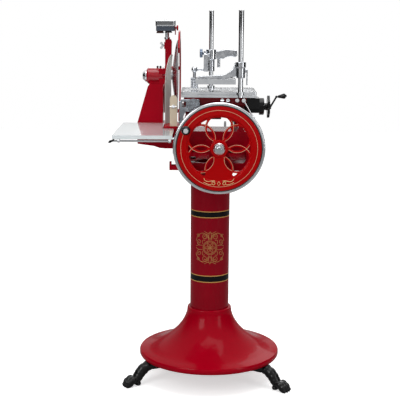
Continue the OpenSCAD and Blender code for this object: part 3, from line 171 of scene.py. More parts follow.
# cloudy: two tones of one colour in soft patches, and the same patches as a roughness
cloudy, get, give = group(
    "cloudy", [("Light", "C", (1, 1, 1, 1)), ("Deep", "C", (0, 0, 0, 1)), ("Size", "F", 8.0),
               ("Smooth", "F", 0.1), ("Rough", "F", 0.2)], [("Colour", "C"), ("Roughness", "F")])
place = put(cloudy, "ShaderNodeTexCoord")
patch = put(cloudy, "ShaderNodeTexNoise", Detail=5.0, Roughness=0.6)
fine = put(cloudy, "ShaderNodeTexNoise", Detail=3.0, Scale=90.0)
blend = put(cloudy, "ShaderNodeMix", data_type="RGBA")
level = put(cloudy, "ShaderNodeMapRange", From_Min=0.3, From_Max=0.7)
half = put(cloudy, "ShaderNodeMath", operation="MULTIPLY_ADD", in1=0.35, in2=0.0)
total = put(cloudy, "ShaderNodeMath", operation="ADD")
join(cloudy, (place.outputs["Object"], patch.inputs["Vector"]),
     (place.outputs["Object"], fine.inputs["Vector"]),
     (get["Size"], patch.inputs["Scale"]), (patch.outputs[0], blend.inputs["Factor"]),
     (get["Light"], blend.inputs[6]), (get["Deep"], blend.inputs[7]), (blend.outputs[2], give["Colour"]),
     (fine.outputs[0], half.inputs[0]), (half.outputs[0], total.inputs[0]), (patch.outputs[0], total.inputs[1]),
     (total.outputs[0], level.inputs["Value"]), (get["Smooth"], level.inputs["To Min"]),
     (get["Rough"], level.inputs["To Max"]), (level.outputs[0], give["Roughness"]))

# an edge mask: 1 on sharp outer edges, broken up by a grain, and 0 on the flats; it marks the edges that hands and
# cloths rub, and on the chromed castings it places painted edge shade
edge_rub_and_shade_mask, get, give = group("edge_rub_and_shade_mask", [("Radius", "F", 0.0015), ("Grain", "F", 60.0), ("Amount", "F", 1.0)],
                             [("Mask", "F")])
round_off = put(edge_rub_and_shade_mask, "ShaderNodeBevel", samples=4)
flat = put(edge_rub_and_shade_mask, "ShaderNodeNewGeometry")
likeness = put(edge_rub_and_shade_mask, "ShaderNodeVectorMath", operation="DOT_PRODUCT")
turned_away = put(edge_rub_and_shade_mask, "ShaderNodeMapRange", From_Min=0.985, From_Max=0.80, To_Min=0.0, To_Max=1.0)
place = put(edge_rub_and_shade_mask, "ShaderNodeTexCoord")
edge_breakup = put(edge_rub_and_shade_mask, "ShaderNodeTexNoise", Detail=4.0)
broken = put(edge_rub_and_shade_mask, "ShaderNodeMapRange", From_Min=0.42, From_Max=0.62)
product = put(edge_rub_and_shade_mask, "ShaderNodeMath", operation="MULTIPLY")
scaled = put(edge_rub_and_shade_mask, "ShaderNodeMath", operation="MULTIPLY", use_clamp=True)
join(edge_rub_and_shade_mask, (get["Radius"], round_off.inputs["Radius"]), (round_off.outputs[0], likeness.inputs[0]),
     (flat.outputs["Normal"], likeness.inputs[1]), (likeness.outputs["Value"], turned_away.inputs["Value"]),
     (place.outputs["Object"], edge_breakup.inputs["Vector"]), (get["Grain"], edge_breakup.inputs["Scale"]),
     (edge_breakup.outputs[0], broken.inputs["Value"]), (turned_away.outputs[0], product.inputs[0]),
     (broken.outputs[0], product.inputs[1]), (product.outputs[0], scaled.inputs[0]),
     (get["Amount"], scaled.inputs[1]), (scaled.outputs[0], give["Mask"]))

# grain: the height of an even small texture, such as the ripple of sprayed enamel or the skin of a sand casting
grain, get, give = group("grain", [("Size", "F", 400.0), ("Pits", "F", 0.0)], [("Height", "F")])
place = put(grain, "ShaderNodeTexCoord")
ripple = put(grain, "ShaderNodeTexNoise", Detail=2.0)
cells = put(grain, "ShaderNodeTexVoronoi", feature="SMOOTH_F1", Smoothness=0.6)
pitted = put(grain, "ShaderNodeMix", data_type="FLOAT")
join(grain, (place.outputs["Object"], ripple.inputs["Vector"]),
     (place.outputs["Object"], cells.inputs["Vector"]), (get["Size"], ripple.inputs["Scale"]),
     (get["Size"], cells.inputs["Scale"]), (get["Pits"], pitted.inputs[0]),
     (ripple.outputs[0], pitted.inputs[2]), (cells.outputs[0], pitted.inputs[3]),
     (pitted.outputs[0], give["Height"]))

# dust: what settles on faces that look up
dust, get, give = group("dust", [("Amount", "F", 0.1)], [("Mask", "F")])
facing = put(dust, "ShaderNodeNewGeometry")
split = put(dust, "ShaderNodeSeparateXYZ")
upward = put(dust, "ShaderNodeMapRange", From_Min=0.5, From_Max=1.0)
place = put(dust, "ShaderNodeTexCoord")
drift = put(dust, "ShaderNodeTexNoise", Scale=26.0, Detail=6.0, Roughness=0.7)
both = put(dust, "ShaderNodeMath", operation="MULTIPLY")
thin = put(dust, "ShaderNodeMath", operation="MULTIPLY")
join(dust, (facing.outputs["Normal"], split.inputs[0]), (split.outputs["Z"], upward.inputs["Value"]),
     (place.outputs["Object"], drift.inputs["Vector"]), (upward.outputs[0], both.inputs[0]),
     (drift.outputs[0], both.inputs[1]), (both.outputs[0], thin.inputs[0]), (get["Amount"], thin.inputs[1]),
     (thin.outputs[0], give["Mask"]))


def use(tree, made, **values):
    """places a shader group in a material with its own values"""
    node = tree.nodes.new("ShaderNodeGroup")
    node.node_tree = made
    for key, value in values.items():
        node.inputs[key].default_value = value
    return node


def mix_colour(tree, mask, under, over):
    """lays one colour over another where the mask is 1"""
    node = put(tree, "ShaderNodeMix", data_type="RGBA")
    tree.links.new(mask, node.inputs["Factor"])
    for value, index in ((under, 6), (over, 7)):
        if isinstance(value, tuple):
            node.inputs[index].default_value = value
        else:
            tree.links.new(value, node.inputs[index])
    return node.outputs[2]


def mix_number(tree, mask, under, over):
    node = put(tree, "ShaderNodeMix", data_type="FLOAT", in3=over)
    join(tree, (mask, node.inputs["Factor"]), (under, node.inputs[2]))
    return node.outputs[0]


def rgb(r, g, b):
    """an sRGB colour of 0 to 255 as linear light"""
    return tuple((c / 255 / 12.92 if c <= 10 else ((c / 255 + 0.055) / 1.055) ** 2.4) for c in (r, g, b)) + (1.0,)


def paint(name, light, deep, smooth=0.12, rough=0.25, coat=1.0, ripple=420.0, height=0.00004, pits=0.0,
          worn=rgb(120, 20, 22), rub_and_shade_amount=0.5, dusty=0.04, patch=7.0, sheen=0.3):
    """sprayed or brushed paint: cloudy colour, worn edges, a little dust, a ripple, and a clear coat"""
    made = bpy.data.materials.new(name)
    made.use_nodes = True
    tree = made.node_tree
    skin = tree.nodes["Principled BSDF"]
    skin.inputs["Coat Weight"].default_value = coat
    skin.inputs["Coat Roughness"].default_value = 0.04
    skin.inputs["Specular IOR Level"].default_value = sheen
    tones = use(tree, cloudy, Light=light, Deep=deep, Size=patch, Smooth=smooth, Rough=rough)
    rub_and_shade_edges = use(tree, edge_rub_and_shade_mask, Amount=rub_and_shade_amount)
    settled = use(tree, dust, Amount=dusty)
    bump = put(tree, "ShaderNodeBump", Distance=height)
    soft_edge = put(tree, "ShaderNodeBevel", samples=4, Radius=0.0016)
    texture = use(tree, grain, Size=ripple, Pits=pits)
    colour = mix_colour(tree, rub_and_shade_edges.outputs[0], tones.outputs["Colour"], worn)
    colour = mix_colour(tree, settled.outputs[0], colour, rgb(205, 196, 186))
    finish = mix_number(tree, rub_and_shade_edges.outputs[0], tones.outputs["Roughness"], 0.4)
    join(tree, (colour, skin.inputs["Base Color"]), (finish, skin.inputs["Roughness"]),
         (texture.outputs[0], bump.inputs["Height"]), (soft_edge.outputs[0], bump.inputs["Normal"]),
         (bump.outputs[0], skin.inputs["Normal"]))
    return made


# a CAD piece shows its true form; this only rounds its shading over the fine facets of its curved faces
skin_tree = bpy.data.node_groups.new("even_shading", "GeometryNodeTree")
skin_tree.interface.new_socket("Geometry", in_out="INPUT", socket_type="NodeSocketGeometry")
skin_tree.interface.new_socket("Sharp Above", in_out="INPUT", socket_type="NodeSocketFloat").default_value = 0.6
skin_tree.interface.new_socket("Geometry", in_out="OUTPUT", socket_type="NodeSocketGeometry")
get, give = skin_tree.nodes.new("NodeGroupInput").outputs, skin_tree.nodes.new("NodeGroupOutput").inputs
weld = put(skin_tree, "GeometryNodeMergeByDistance", Distance=0.00002)
all_smooth = put(skin_tree, "GeometryNodeSetShadeSmooth")
crease = put(skin_tree, "GeometryNodeSetShadeSmooth", domain="EDGE", Shade_Smooth=False)
fold = put(skin_tree, "GeometryNodeInputMeshEdgeAngle")
sharper = put(skin_tree, "FunctionNodeCompare", data_type="FLOAT", operation="GREATER_THAN")
join(skin_tree, (get["Geometry"], weld.inputs["Geometry"]), (weld.outputs[0], all_smooth.inputs["Geometry"]),
     (all_smooth.outputs[0], crease.inputs["Geometry"]), (fold.outputs[0], sharper.inputs[0]),
     (get["Sharp Above"], sharper.inputs[1]), (sharper.outputs[0], crease.inputs["Selection"]),
     (crease.outputs[0], give["Geometry"]))


def dress(material, *names, sharp=0.6):
    """gives CAD pieces their finish; creases stay where two faces meet at more than this angle in radians"""
    for name in names:
        piece = nodes[name]
        piece.data.materials.clear()
        piece.data.materials.append(material)
        shading = piece.modifiers.new("even_shading", "NODES")
        shading.node_group = skin_tree
        for socket in skin_tree.interface.items_tree:
            if socket.name == "Sharp Above":
                shading[socket.identifier] = sharp


red_enamel = paint("red_enamel", rgb(166, 0, 26), rgb(150, 0, 21), coat=0.10, sheen=0.03, dusty=0.0)
dress(red_enamel, "pedestal_bell")


# ---------- Pedestal column ----------
# Drawn steel tube with a welded top flange, in a deeper red enamel. Two black bands edged with gold are masked
# and sprayed before the clear coat, and a gilt ornament is laid on the front by hand between them.

column_r = 78 * mm
band_edges = [(694, 690.8, "gold"), (690.8, 670.8, "black"), (670.8, 667.4, "gold"),
              (433.8, 430.4, "gold"), (430.4, 408.4, "black"), (408.4, 405, "gold")]
deep_red = paint("column_enamel", rgb(144, 0, 24), rgb(128, 0, 20), coat=0.18, sheen=0.03, dusty=0.0)
tree = deep_red.node_tree
skin = tree.nodes["Principled BSDF"]
ground = skin.inputs["Base Color"].links[0].from_socket
place = put(tree, "ShaderNodeTexCoord")
split = put(tree, "ShaderNodeSeparateXYZ")
join(tree, (place.outputs["Object"], split.inputs[0]))
colours = {"gold": rgb(196, 150, 84), "black": rgb(16, 14, 16)}
for top, bottom, tone in band_edges:
    middle, half_width = (top + bottom) / 2 * mm, (top - bottom) / 2 * mm
    inside = put(tree, "ShaderNodeMath", operation="COMPARE", in1=middle, in2=half_width)
    join(tree, (split.outputs["Z"], inside.inputs[0]))
    ground = mix_colour(tree, inside.outputs[0], ground, colours[tone])
join(tree, (ground, skin.inputs["Base Color"]))
dress(deep_red, "pedestal_column")


def new_piece(name, mesh, material, body, slot, *stands_for):
    """links a finished mesh, shades it and hands it to the frame"""
    piece = bpy.data.objects.new(name, mesh)
    bpy.context.scene.collection.objects.link(piece)
    mesh.materials.clear()
    mesh.materials.append(material)
    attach(piece, body)
    if stands_for:
        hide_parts(*stands_for)
    return piece


def as_mesh(name, verts, faces, edges=()):
    mesh = bpy.data.meshes.new(name)
    mesh.from_pydata(verts, list(edges), faces)
    return mesh


def even(mesh, sharp=0.6):
    """outward faces, smooth shading and creases above an angle"""
    bm = bmesh.new()
    bm.from_mesh(mesh)
    bmesh.ops.remove_doubles(bm, verts=bm.verts, dist=0.00001)
    bmesh.ops.recalc_face_normals(bm, faces=bm.faces)
    for face in bm.faces:
        face.smooth = True
    for edge in bm.edges:
        edge.smooth = not edge.is_manifold or edge.calc_face_angle(0) < sharp
    bm.to_mesh(mesh)
    bm.free()
    return mesh


def set_input(modifier, label, value):
    for socket in modifier.node_group.interface.items_tree:
        if socket.name == label and socket.in_out == "INPUT":
            modifier[socket.identifier] = value


def grow(name, mesh, tree, **inputs):
    """runs a geometry tree once over a mesh and returns the plain mesh that comes out"""
    seed = bpy.data.objects.new(name + "_seed", mesh)
    bpy.context.scene.collection.objects.link(seed)
    modifier = seed.modifiers.new("grow", "NODES")
    modifier.node_group = tree
    for label, value in inputs.items():
        set_input(modifier, label.replace("_", " "), value)
    graph = bpy.context.evaluated_depsgraph_get()
    made = bpy.data.meshes.new_from_object(seed.evaluated_get(graph), preserve_all_data_layers=True,
                                           depsgraph=graph)
    made.name = name
    seed.modifiers.clear()
    bpy.data.objects.remove(seed)
    return made


def geometry_tree(name, **inputs):
    """a geometry tree with a mesh going in and out; the other inputs are numbers, or a material or object"""
    tree = bpy.data.node_groups.new(name, "GeometryNodeTree")
    tree.interface.new_socket("Geometry", in_out="INPUT", socket_type="NodeSocketGeometry")
    for label, kind in inputs.items():
        tree.interface.new_socket(label.replace("_", " "), in_out="INPUT", socket_type="NodeSocket" + kind)
    tree.interface.new_socket("Geometry", in_out="OUTPUT", socket_type="NodeSocketGeometry")
    return tree, tree.nodes.new("NodeGroupInput").outputs, tree.nodes.new("NodeGroupOutput").inputs


# painted_line lays a thin bead of paint, half sunk into the surface, along every path of a wire mesh
painted_line, get, give = geometry_tree("painted_line", Radius="Float", Sides="Int", Material="Material")
path = put(painted_line, "GeometryNodeMeshToCurve")
brush = put(painted_line, "GeometryNodeCurvePrimitiveCircle")
bead = put(painted_line, "GeometryNodeCurveToMesh", Fill_Caps=True)
real = put(painted_line, "GeometryNodeRealizeInstances")
coat = put(painted_line, "GeometryNodeSetMaterial")
join(painted_line, (get["Geometry"], path.inputs["Mesh"]), (get["Sides"], brush.inputs["Resolution"]),
     (get["Radius"], brush.inputs["Radius"]), (path.outputs[0], bead.inputs["Curve"]),
     (brush.outputs[0], bead.inputs["Profile Curve"]), (bead.outputs[0], real.inputs[0]),
     (real.outputs[0], coat.inputs["Geometry"]), (get["Material"], coat.inputs["Material"]),
     (coat.outputs[0], give["Geometry"]))


def wires(paths, to_space):
    """flat paths of (across, up) points in mm, wrapped into space; one that ends where it starts is a loop"""
    verts, edges = [], []
    for points in paths:
        loop = math.dist(points[0], points[-1]) < 1e-6
        start = len(verts)
        verts += [to_space(*p) for p in (points[:-1] if loop else points)]
        edges += [(i, i + 1) for i in range(start, len(verts) - 1)]
        if loop:
            edges.append((len(verts) - 1, start))
    return as_mesh("wires", verts, [], edges)


def arc(x, y, r, a0, a1, n=24):
    turns = [math.radians(a0 + (a1 - a0) * i / n) for i in range(n + 1)]
    return [(x + r * math.cos(turn), y + r * math.sin(turn)) for turn in turns]


def volute(x, y, r0, r1, a0, turn, n=34):
    """a scroll that winds in from radius r0 to r1"""
    return [(x + (r0 + (r1 - r0) * (i / n) ** 0.8) * math.cos(math.radians(a0 + turn * i / n)),
             y + (r0 + (r1 - r0) * (i / n) ** 0.8) * math.sin(math.radians(a0 + turn * i / n)))
            for i in range(n + 1)]


def bezier(p0, p1, p2, p3, n=14):
    return [tuple(sum(w * p[k] for w, p in zip(((1 - t) ** 3, 3 * t * (1 - t) ** 2, 3 * t * t * (1 - t), t ** 3),
                                               (p0, p1, p2, p3))) for k in (0, 1))
            for t in (i / n for i in range(n + 1))]


ornament_z = 548
gilt = paint("gilt", rgb(206, 158, 92), rgb(176, 124, 66), smooth=0.28, rough=0.42, coat=0.6,
             worn=rgb(150, 96, 52), dusty=0.05)
gilt.node_tree.nodes["Principled BSDF"].inputs["Metallic"].default_value = 0.55
rosette = [(21 * abs(math.cos(3 * math.radians(a))) * math.cos(math.radians(a)),
            21 * abs(math.cos(3 * math.radians(a))) * math.sin(math.radians(a))) for a in range(0, 361, 4)]
ornament = [arc(0, 0, 24, 0, 360, 48), arc(0, 0, 28, 0, 360, 48), rosette, arc(0, 0, 4, 0, 360, 12)]
for sx in (-1, 1):
    for sz in (-1, 1):
        curls = [volute(20, 44, 15, 3, 200, -560), volute(45, 22, 13, 2.5, 250, 520),
                 volute(50, 46, 8, 2, 20, 430),
                 bezier((5, 31), (8, 44), (16, 62), (34, 58)), bezier((34, 58), (46, 54), (58, 40), (61, 24)),
                 bezier((30, 8), (40, 10), (52, 10), (60, 3)), bezier((2, 62), (8, 54), (14, 62), (24, 66)),
                 bezier((29, 14), (34, 30), (28, 34), (20, 29))]
        ornament += [[(sx * x, sz * z) for x, z in curl] for curl in curls]
for sz in (-1, 1):
    left_side = bezier((0, 34), (-9, 44), (-5, 56), (0, 66))
    right_side = bezier((0, 66), (5, 56), (9, 44), (0, 34))[1:]
    ornament += [[(x, sz * z) for x, z in left_side + right_side]]
gilding = grow("column_ornament", wires(ornament, lambda x, z: (
    (column_r - 0.0003) * math.sin(x * mm / column_r), -(column_r - 0.0003) * math.cos(x * mm / column_r),
    (ornament_z + z) * mm)), painted_line, Radius=1.05 * mm, Sides=6, Material=gilt)
new_piece("column_ornament", even(gilding, 1.4), gilt, "stand", "red_enamel")


# ---------- Paw feet ----------
# Three cast-iron lion paws in satin black, each bolted up into the bell. The mould left a bossed hip with a
# leaf, a leg that sweeps down and out, and a paw with four knuckled toes, short claws and a heel pad, ground
# flat below.

foot_turns = [-154, -34, 86]
foot_names = ["foot_front_left", "foot_front_right", "foot_rear"]
black_cast = paint("black_cast", rgb(9, 9, 10), rgb(5, 5, 6), smooth=0.16, rough=0.32, coat=0.3, ripple=260.0,
                   height=0.00025, pits=0.5, worn=rgb(46, 44, 42), rub_and_shade_amount=0.4, dusty=0.0, sheen=0.2)

# each lump of the pattern: centre (outward, across, up), radii, and a tilt about the cross axis; mm and degrees
leg_lumps = [((222, 0, 79), (24, 27, 18), 0), ((248, 0, 79), (28, 26, 17), 4), ((272, 0, 74), (27, 24, 21), 18),
             ((293, 0, 62), (27, 22, 23), 35), ((306, 0, 49), (26, 22, 22), 52), ((315, 0, 36), (23, 22, 21), 60),
             ((328, 0, 25), (19, 22, 17), 20), ((342, 0, 22), (20, 25, 17), 10), ((318, 0, 9), (13, 21, 11), 0)]
for y in (-20.5, -7, 7, 20.5):
    back = abs(y) * 0.25
    leg_lumps += [((349 - back, y, 27), (15, 7.6, 11), 24), ((361 - back, y, 16), (14, 7.4, 14), 30),
                  ((368 - back, y, 8), (10, 7.0, 9), 0), ((375 - back, y, 5), (6, 2.6, 6.5), 30)]
leaf_lumps = [((256, 0, 92), (20, 4, 5), 12), ((281, 0, 87), (17, 3.6, 4), 32), ((300, 0, 74), (13, 3.2, 4), 48)]
for y in (-1, 1):
    leaf_lumps += [((252, y * 11, 90), (16, 3.4, 4.5), 10), ((276, y * 9, 84), (16, 3.2, 4), 30),
                   ((296, y * 8, 71), (14, 3, 4), 46), ((244, y * 22, 84), (13, 4.4, 5), 0),
                   ((309, y * 13, 57), (11, 3, 4), 60), ((316, y * 15, 40), (10, 3, 4), 70)]


def remeshed(name, mesh, voxel, rounds, level=None):
    """one closed skin over everything in the mesh, rubbed smooth, and ground flat at a level"""
    body = bpy.data.objects.new(name + "_pattern", mesh)
    bpy.context.scene.collection.objects.link(body)
    skin = body.modifiers.new("skin", "REMESH")
    skin.mode = "VOXEL"
    skin.voxel_size = voxel
    rub = body.modifiers.new("rub", "SMOOTH")
    rub.factor = 0.5
    rub.iterations = rounds
    graph = bpy.context.evaluated_depsgraph_get()
    made = bpy.data.meshes.new_from_object(body.evaluated_get(graph), depsgraph=graph)
    made.name = name
    body.modifiers.clear()
    bpy.data.objects.remove(body)
    bm = bmesh.new()
    bm.from_mesh(made)
    if level is not None:
        bmesh.ops.bisect_plane(bm, geom=bm.verts[:] + bm.edges[:] + bm.faces[:], plane_co=(0, 0, level),
                               plane_no=(0, 0, -1), clear_outer=True)
        bmesh.ops.holes_fill(bm, edges=[e for e in bm.edges if e.is_boundary])
        bmesh.ops.triangulate(bm, faces=[f for f in bm.faces if len(f.verts) > 4])
    for face in bm.faces:
        face.smooth = True
    bm.to_mesh(made)
    bm.free()
    return made


bm = bmesh.new()
for centre, radii, tilt in leg_lumps + leaf_lumps:
    stretch = Matrix.Diagonal(Vector(radii) * mm).to_4x4()
    lean_over = Matrix.Rotation(math.radians(tilt), 4, "Y")
    bmesh.ops.create_icosphere(bm, subdivisions=3, radius=1,
                               matrix=Matrix.Translation(Vector(centre) * mm) @ lean_over @ stretch)
# the pad that bolts up under the bell
bmesh.ops.create_cube(bm, size=1, matrix=Matrix.Translation((235 * mm, 0, 80 * mm))
                      @ Matrix.Diagonal((0.062, 0.058, 0.030, 1)))
pattern = bpy.data.meshes.new("paw")
bm.to_mesh(pattern)
bm.free()
ground_off = 0.4 * mm
paw = remeshed("paw", pattern, 1.9 * mm, 3, level=ground_off)
for turn, name in zip(foot_turns, foot_names):
    one = paw.copy()
    one.transform(Matrix.Rotation(math.radians(turn), 4, "Z"))
    one.transform(Matrix.Translation((0, 0, -ground_off)))
    new_piece(name + "_paw", one, black_cast, "stand", "black_cast", name)


# ---------- Pedestal bolts ----------
# Hexagon bolts and nuts: two up through each foot's pad, four through the column's flange into the machine
# base. Mild steel, oiled black, with the corners rubbed bright by the spanner.

# brushed: streaks along one direction, as a value; Stretch is small along the streaks and large across them
brushed, get, give = group("brushed", [("Stretch", "V", (1, 1, 1)), ("Size", "F", 200.0)], [("Value", "F")])
place = put(brushed, "ShaderNodeTexCoord")
drawn = put(brushed, "ShaderNodeVectorMath", operation="MULTIPLY")
streak = put(brushed, "ShaderNodeTexNoise", Detail=3.0, Roughness=0.7)
join(brushed, (place.outputs["Object"], drawn.inputs[0]), (get["Stretch"], drawn.inputs[1]),
     (drawn.outputs[0], streak.inputs["Vector"]), (get["Size"], streak.inputs["Scale"]),
     (streak.outputs[0], give["Value"]))

# lathe: fine rings round an axis, as a value; Plane keeps the two directions across the axis
lathe, get, give = group("lathe", [("Centre", "V", (0, 0, 0)), ("Plane", "V", (0, 1, 1)), ("Size", "F", 900.0)],
                         [("Value", "F")])
place = put(lathe, "ShaderNodeTexCoord")
from_axis = put(lathe, "ShaderNodeVectorMath", operation="SUBTRACT")
across = put(lathe, "ShaderNodeVectorMath", operation="MULTIPLY")
radius = put(lathe, "ShaderNodeVectorMath", operation="LENGTH")
rings = put(lathe, "ShaderNodeTexNoise", noise_dimensions="1D", Detail=3.0, Roughness=0.6)
join(lathe, (place.outputs["Object"], from_axis.inputs[0]), (get["Centre"], from_axis.inputs[1]),
     (from_axis.outputs[0], across.inputs[0]), (get["Plane"], across.inputs[1]),
     (across.outputs[0], radius.inputs[0]), (radius.outputs["Value"], rings.inputs["W"]),
     (get["Size"], rings.inputs["Scale"]), (rings.outputs[0], give["Value"]))


def metal(name, light, deep, smooth=0.10, rough=0.22, streaks=None, axis=None, height=0.000012,
          rub_and_shade_edge_colour=rgb(96, 94, 92), rub_and_shade_amount=0.3, dusty=0.03, patch=14.0, size=260.0, soft=0.001):
    """bare or plated metal: cloudy tone, rubbed edges (painted dark edge shade on the chromed castings), dust, and
    marks that run straight or round an axis
    """
    made = bpy.data.materials.new(name)
    made.use_nodes = True
    tree = made.node_tree
    skin = tree.nodes["Principled BSDF"]
    skin.inputs["Metallic"].default_value = 1.0
    tones = use(tree, cloudy, Light=light, Deep=deep, Size=patch, Smooth=smooth, Rough=rough)
    rub_and_shade_edges = use(tree, edge_rub_and_shade_mask, Amount=rub_and_shade_amount)
    settled = use(tree, dust, Amount=dusty)
    if axis:
        marks = use(tree, lathe, Centre=axis[0], Plane=axis[1], Size=size * 4)
    elif streaks:
        marks = use(tree, brushed, Stretch=streaks, Size=size)
    else:
        marks = use(tree, grain, Size=size)
    bump = put(tree, "ShaderNodeBump", Distance=height)
    soft_edge = put(tree, "ShaderNodeBevel", samples=4, Radius=soft)
    spread = rough - smooth
    marked = put(tree, "ShaderNodeMath", operation="MULTIPLY_ADD", in1=spread * 0.8, in2=-spread * 0.4)
    finish = put(tree, "ShaderNodeMath", operation="ADD", use_clamp=True)
    # the edge colour over the edge mask: rubbed edges on most metals; on the chromed dial bracket and clamps this dark
    # edge colour is painted shade
    colour = mix_colour(tree, rub_and_shade_edges.outputs[0], tones.outputs["Colour"], rub_and_shade_edge_colour)
    colour = mix_colour(tree, settled.outputs[0], colour, rgb(170, 165, 158))
    join(tree, (colour, skin.inputs["Base Color"]), (marks.outputs[0], marked.inputs[0]),
         (tones.outputs["Roughness"], finish.inputs[0]), (marked.outputs[0], finish.inputs[1]),
         (finish.outputs[0], skin.inputs["Roughness"]), (marks.outputs[0], bump.inputs["Height"]),
         (soft_edge.outputs[0], bump.inputs["Normal"]), (bump.outputs[0], skin.inputs["Normal"]))
    return made


black_steel = metal("oiled_steel", rgb(70, 70, 72), rgb(44, 43, 44), 0.3, 0.5, rub_and_shade_edge_colour=rgb(170, 168, 165), rub_and_shade_amount=0.9,
                    dusty=0.2)
dress(black_steel, "pedestal_bolts")


# ---------- Machine base ----------
# One hollow iron casting with swept sides, hooked corner lugs, a front deck and a stand at each end of both
# rails. Red enamel fills and rounds its edges.

dress(red_enamel, "base_casting")


# ---------- Shafts, gears and bearings ----------
# The flywheel's steel shaft turns in bronze bushes and drives a cross shaft through two cut bevel wheels. The
# cross shaft carries the chain wheel on the left and the crank disc on the right. The blocks are planed grey
# iron.

wheel_x, wheel_z = 29 * mm, 963 * mm
main_axis = ((wheel_x, 0, wheel_z), (1, 0, 1))
cross_axis = ((0, 0.280, wheel_z), (0, 1, 1))
steel = metal("turned_steel", rgb(190, 190, 192), rgb(150, 150, 152), 0.16, 0.32, axis=main_axis)
cross_steel = metal("cross_steel", rgb(188, 188, 190), rgb(150, 150, 152), 0.16, 0.32, axis=cross_axis)
gear_steel = metal("gear_steel", rgb(142, 144, 148), rgb(108, 108, 110), 0.24, 0.42, rub_and_shade_amount=0.8,
                   rub_and_shade_edge_colour=rgb(196, 196, 194))
grey_iron = metal("grey_iron", rgb(118, 118, 120), rgb(84, 83, 84), 0.36, 0.6, height=0.0002, size=420.0,
                  dusty=0.2)
bronze = metal("bronze", rgb(196, 140, 82), rgb(150, 98, 54), 0.22, 0.4, axis=main_axis)
dress(steel, "main_shaft")
dress(cross_steel, "cross_shaft")
dress(gear_steel, "bevel_pinion", "bevel_gear", sharp=0.5)
dress(grey_iron, "shaft_bearings", "crank_disc", "rocker_arm", "connecting_rod")
dress(bronze, "shaft_bushes")


# ---------- Roller chain ----------
# An endless roller chain climbs from the cross shaft to the blade shaft inside the column. Each link is two
# pressed side plates riveted through a roller.

chain_x0, chain_x1 = -240 * mm, -235 * mm
low_centre, low_r = (280 * mm, wheel_z), 27 * mm
top_centre, top_r = (280 * mm, 1204 * mm), 15 * mm
lean = math.asin((low_r - top_r) / (top_centre[1] - low_centre[1]))
loop = []
wraps = ((top_centre, top_r, lean, math.pi - lean, 20),
         (low_centre, low_r, math.pi - lean, 2 * math.pi + lean, 36))
for (cy, cz), r, a0, a1, n in wraps:
    turns = [a0 + (a1 - a0) * i / n for i in range(n + 1)]
    loop += [((chain_x0 + chain_x1) / 2, cy + r * math.cos(turn), cz + r * math.sin(turn)) for turn in turns]
loop_mesh = as_mesh("chain_loop", loop, [], [(i, (i + 1) % len(loop)) for i in range(len(loop))])
chain_length = sum((Vector(loop[i]) - Vector(loop[i - 1])).length for i in range(len(loop)))
wanted_pitch = 8 * mm
link_count = 2 * round(chain_length / (2 * wanted_pitch))
pitch = chain_length / link_count
verts, faces = [], []


def prism(ring, x0, x1):
    """closes a ring of (y, z) points between two X planes"""
    start, n = len(verts), len(ring)
    verts.extend([(x0, y, z) for y, z in ring] + [(x1, y, z) for y, z in ring])
    faces.extend([tuple(start + i for i in range(n - 1, -1, -1)), tuple(start + n + i for i in range(n))])
    faces.extend([(start + i, start + (i + 1) % n, start + n + (i + 1) % n, start + n + i) for i in range(n)])


plate = [(-pitch * 0.62, -1.1 * mm), (-pitch * 0.5, -1.9 * mm), (0, -1.35 * mm), (pitch * 0.5, -1.9 * mm),
         (pitch * 0.62, 1.1 * mm), (pitch * 0.5, 1.9 * mm), (0, 1.35 * mm), (-pitch * 0.5, 1.9 * mm)]
for x0, x1 in ((-2.5, -1.7), (1.7, 2.5)):
    prism(plate, x0 * mm, x1 * mm)
roller_r, roller_half = 1.6 * mm, 2.4 * mm
corners = [k * math.pi / 4 for k in range(8)]
prism([(pitch / 2 + roller_r * math.cos(a), roller_r * math.sin(a)) for a in corners], -roller_half, roller_half)
link = bpy.data.objects.new("link_pattern", as_mesh("link", verts, faces))
bpy.context.scene.collection.objects.link(link)

links_on_loop, get, give = geometry_tree("links_on_loop", Link="Object", Count="Int", Material="Material")
route = put(links_on_loop, "GeometryNodeMeshToCurve")
spaced = put(links_on_loop, "GeometryNodeResampleCurve")
heading = put(links_on_loop, "GeometryNodeInputTangent")
turn = put(links_on_loop, "FunctionNodeAlignEulerToVector", axis="Y", pivot_axis="X")
one_link = put(links_on_loop, "GeometryNodeObjectInfo")
each = put(links_on_loop, "GeometryNodeInstanceOnPoints")
real = put(links_on_loop, "GeometryNodeRealizeInstances")
coat = put(links_on_loop, "GeometryNodeSetMaterial")
join(links_on_loop, (get["Geometry"], route.inputs["Mesh"]), (route.outputs[0], spaced.inputs["Curve"]),
     (get["Count"], spaced.inputs["Count"]), (spaced.outputs[0], each.inputs["Points"]),
     (get["Link"], one_link.inputs["Object"]), (one_link.outputs["Geometry"], each.inputs["Instance"]),
     (heading.outputs[0], turn.inputs["Vector"]), (turn.outputs[0], each.inputs["Rotation"]),
     (each.outputs[0], real.inputs[0]), (real.outputs[0], coat.inputs["Geometry"]),
     (get["Material"], coat.inputs["Material"]), (coat.outputs[0], give["Geometry"]))
chain = grow("roller_chain", loop_mesh, links_on_loop, Link=link, Count=link_count, Material=gear_steel)
bpy.data.objects.remove(link)
new_piece("roller_chain", even(chain, 0.5), gear_steel, "stand", "gear_steel", "drive_chain")


# ---------- Blade column and hub housing ----------
# A hollow red casting rises at the left rear; the blade's shaft runs in the round housing at its head, closed
# by a chromed cap, with two oil cups on top. The slim post behind the blade carries the sharpener.

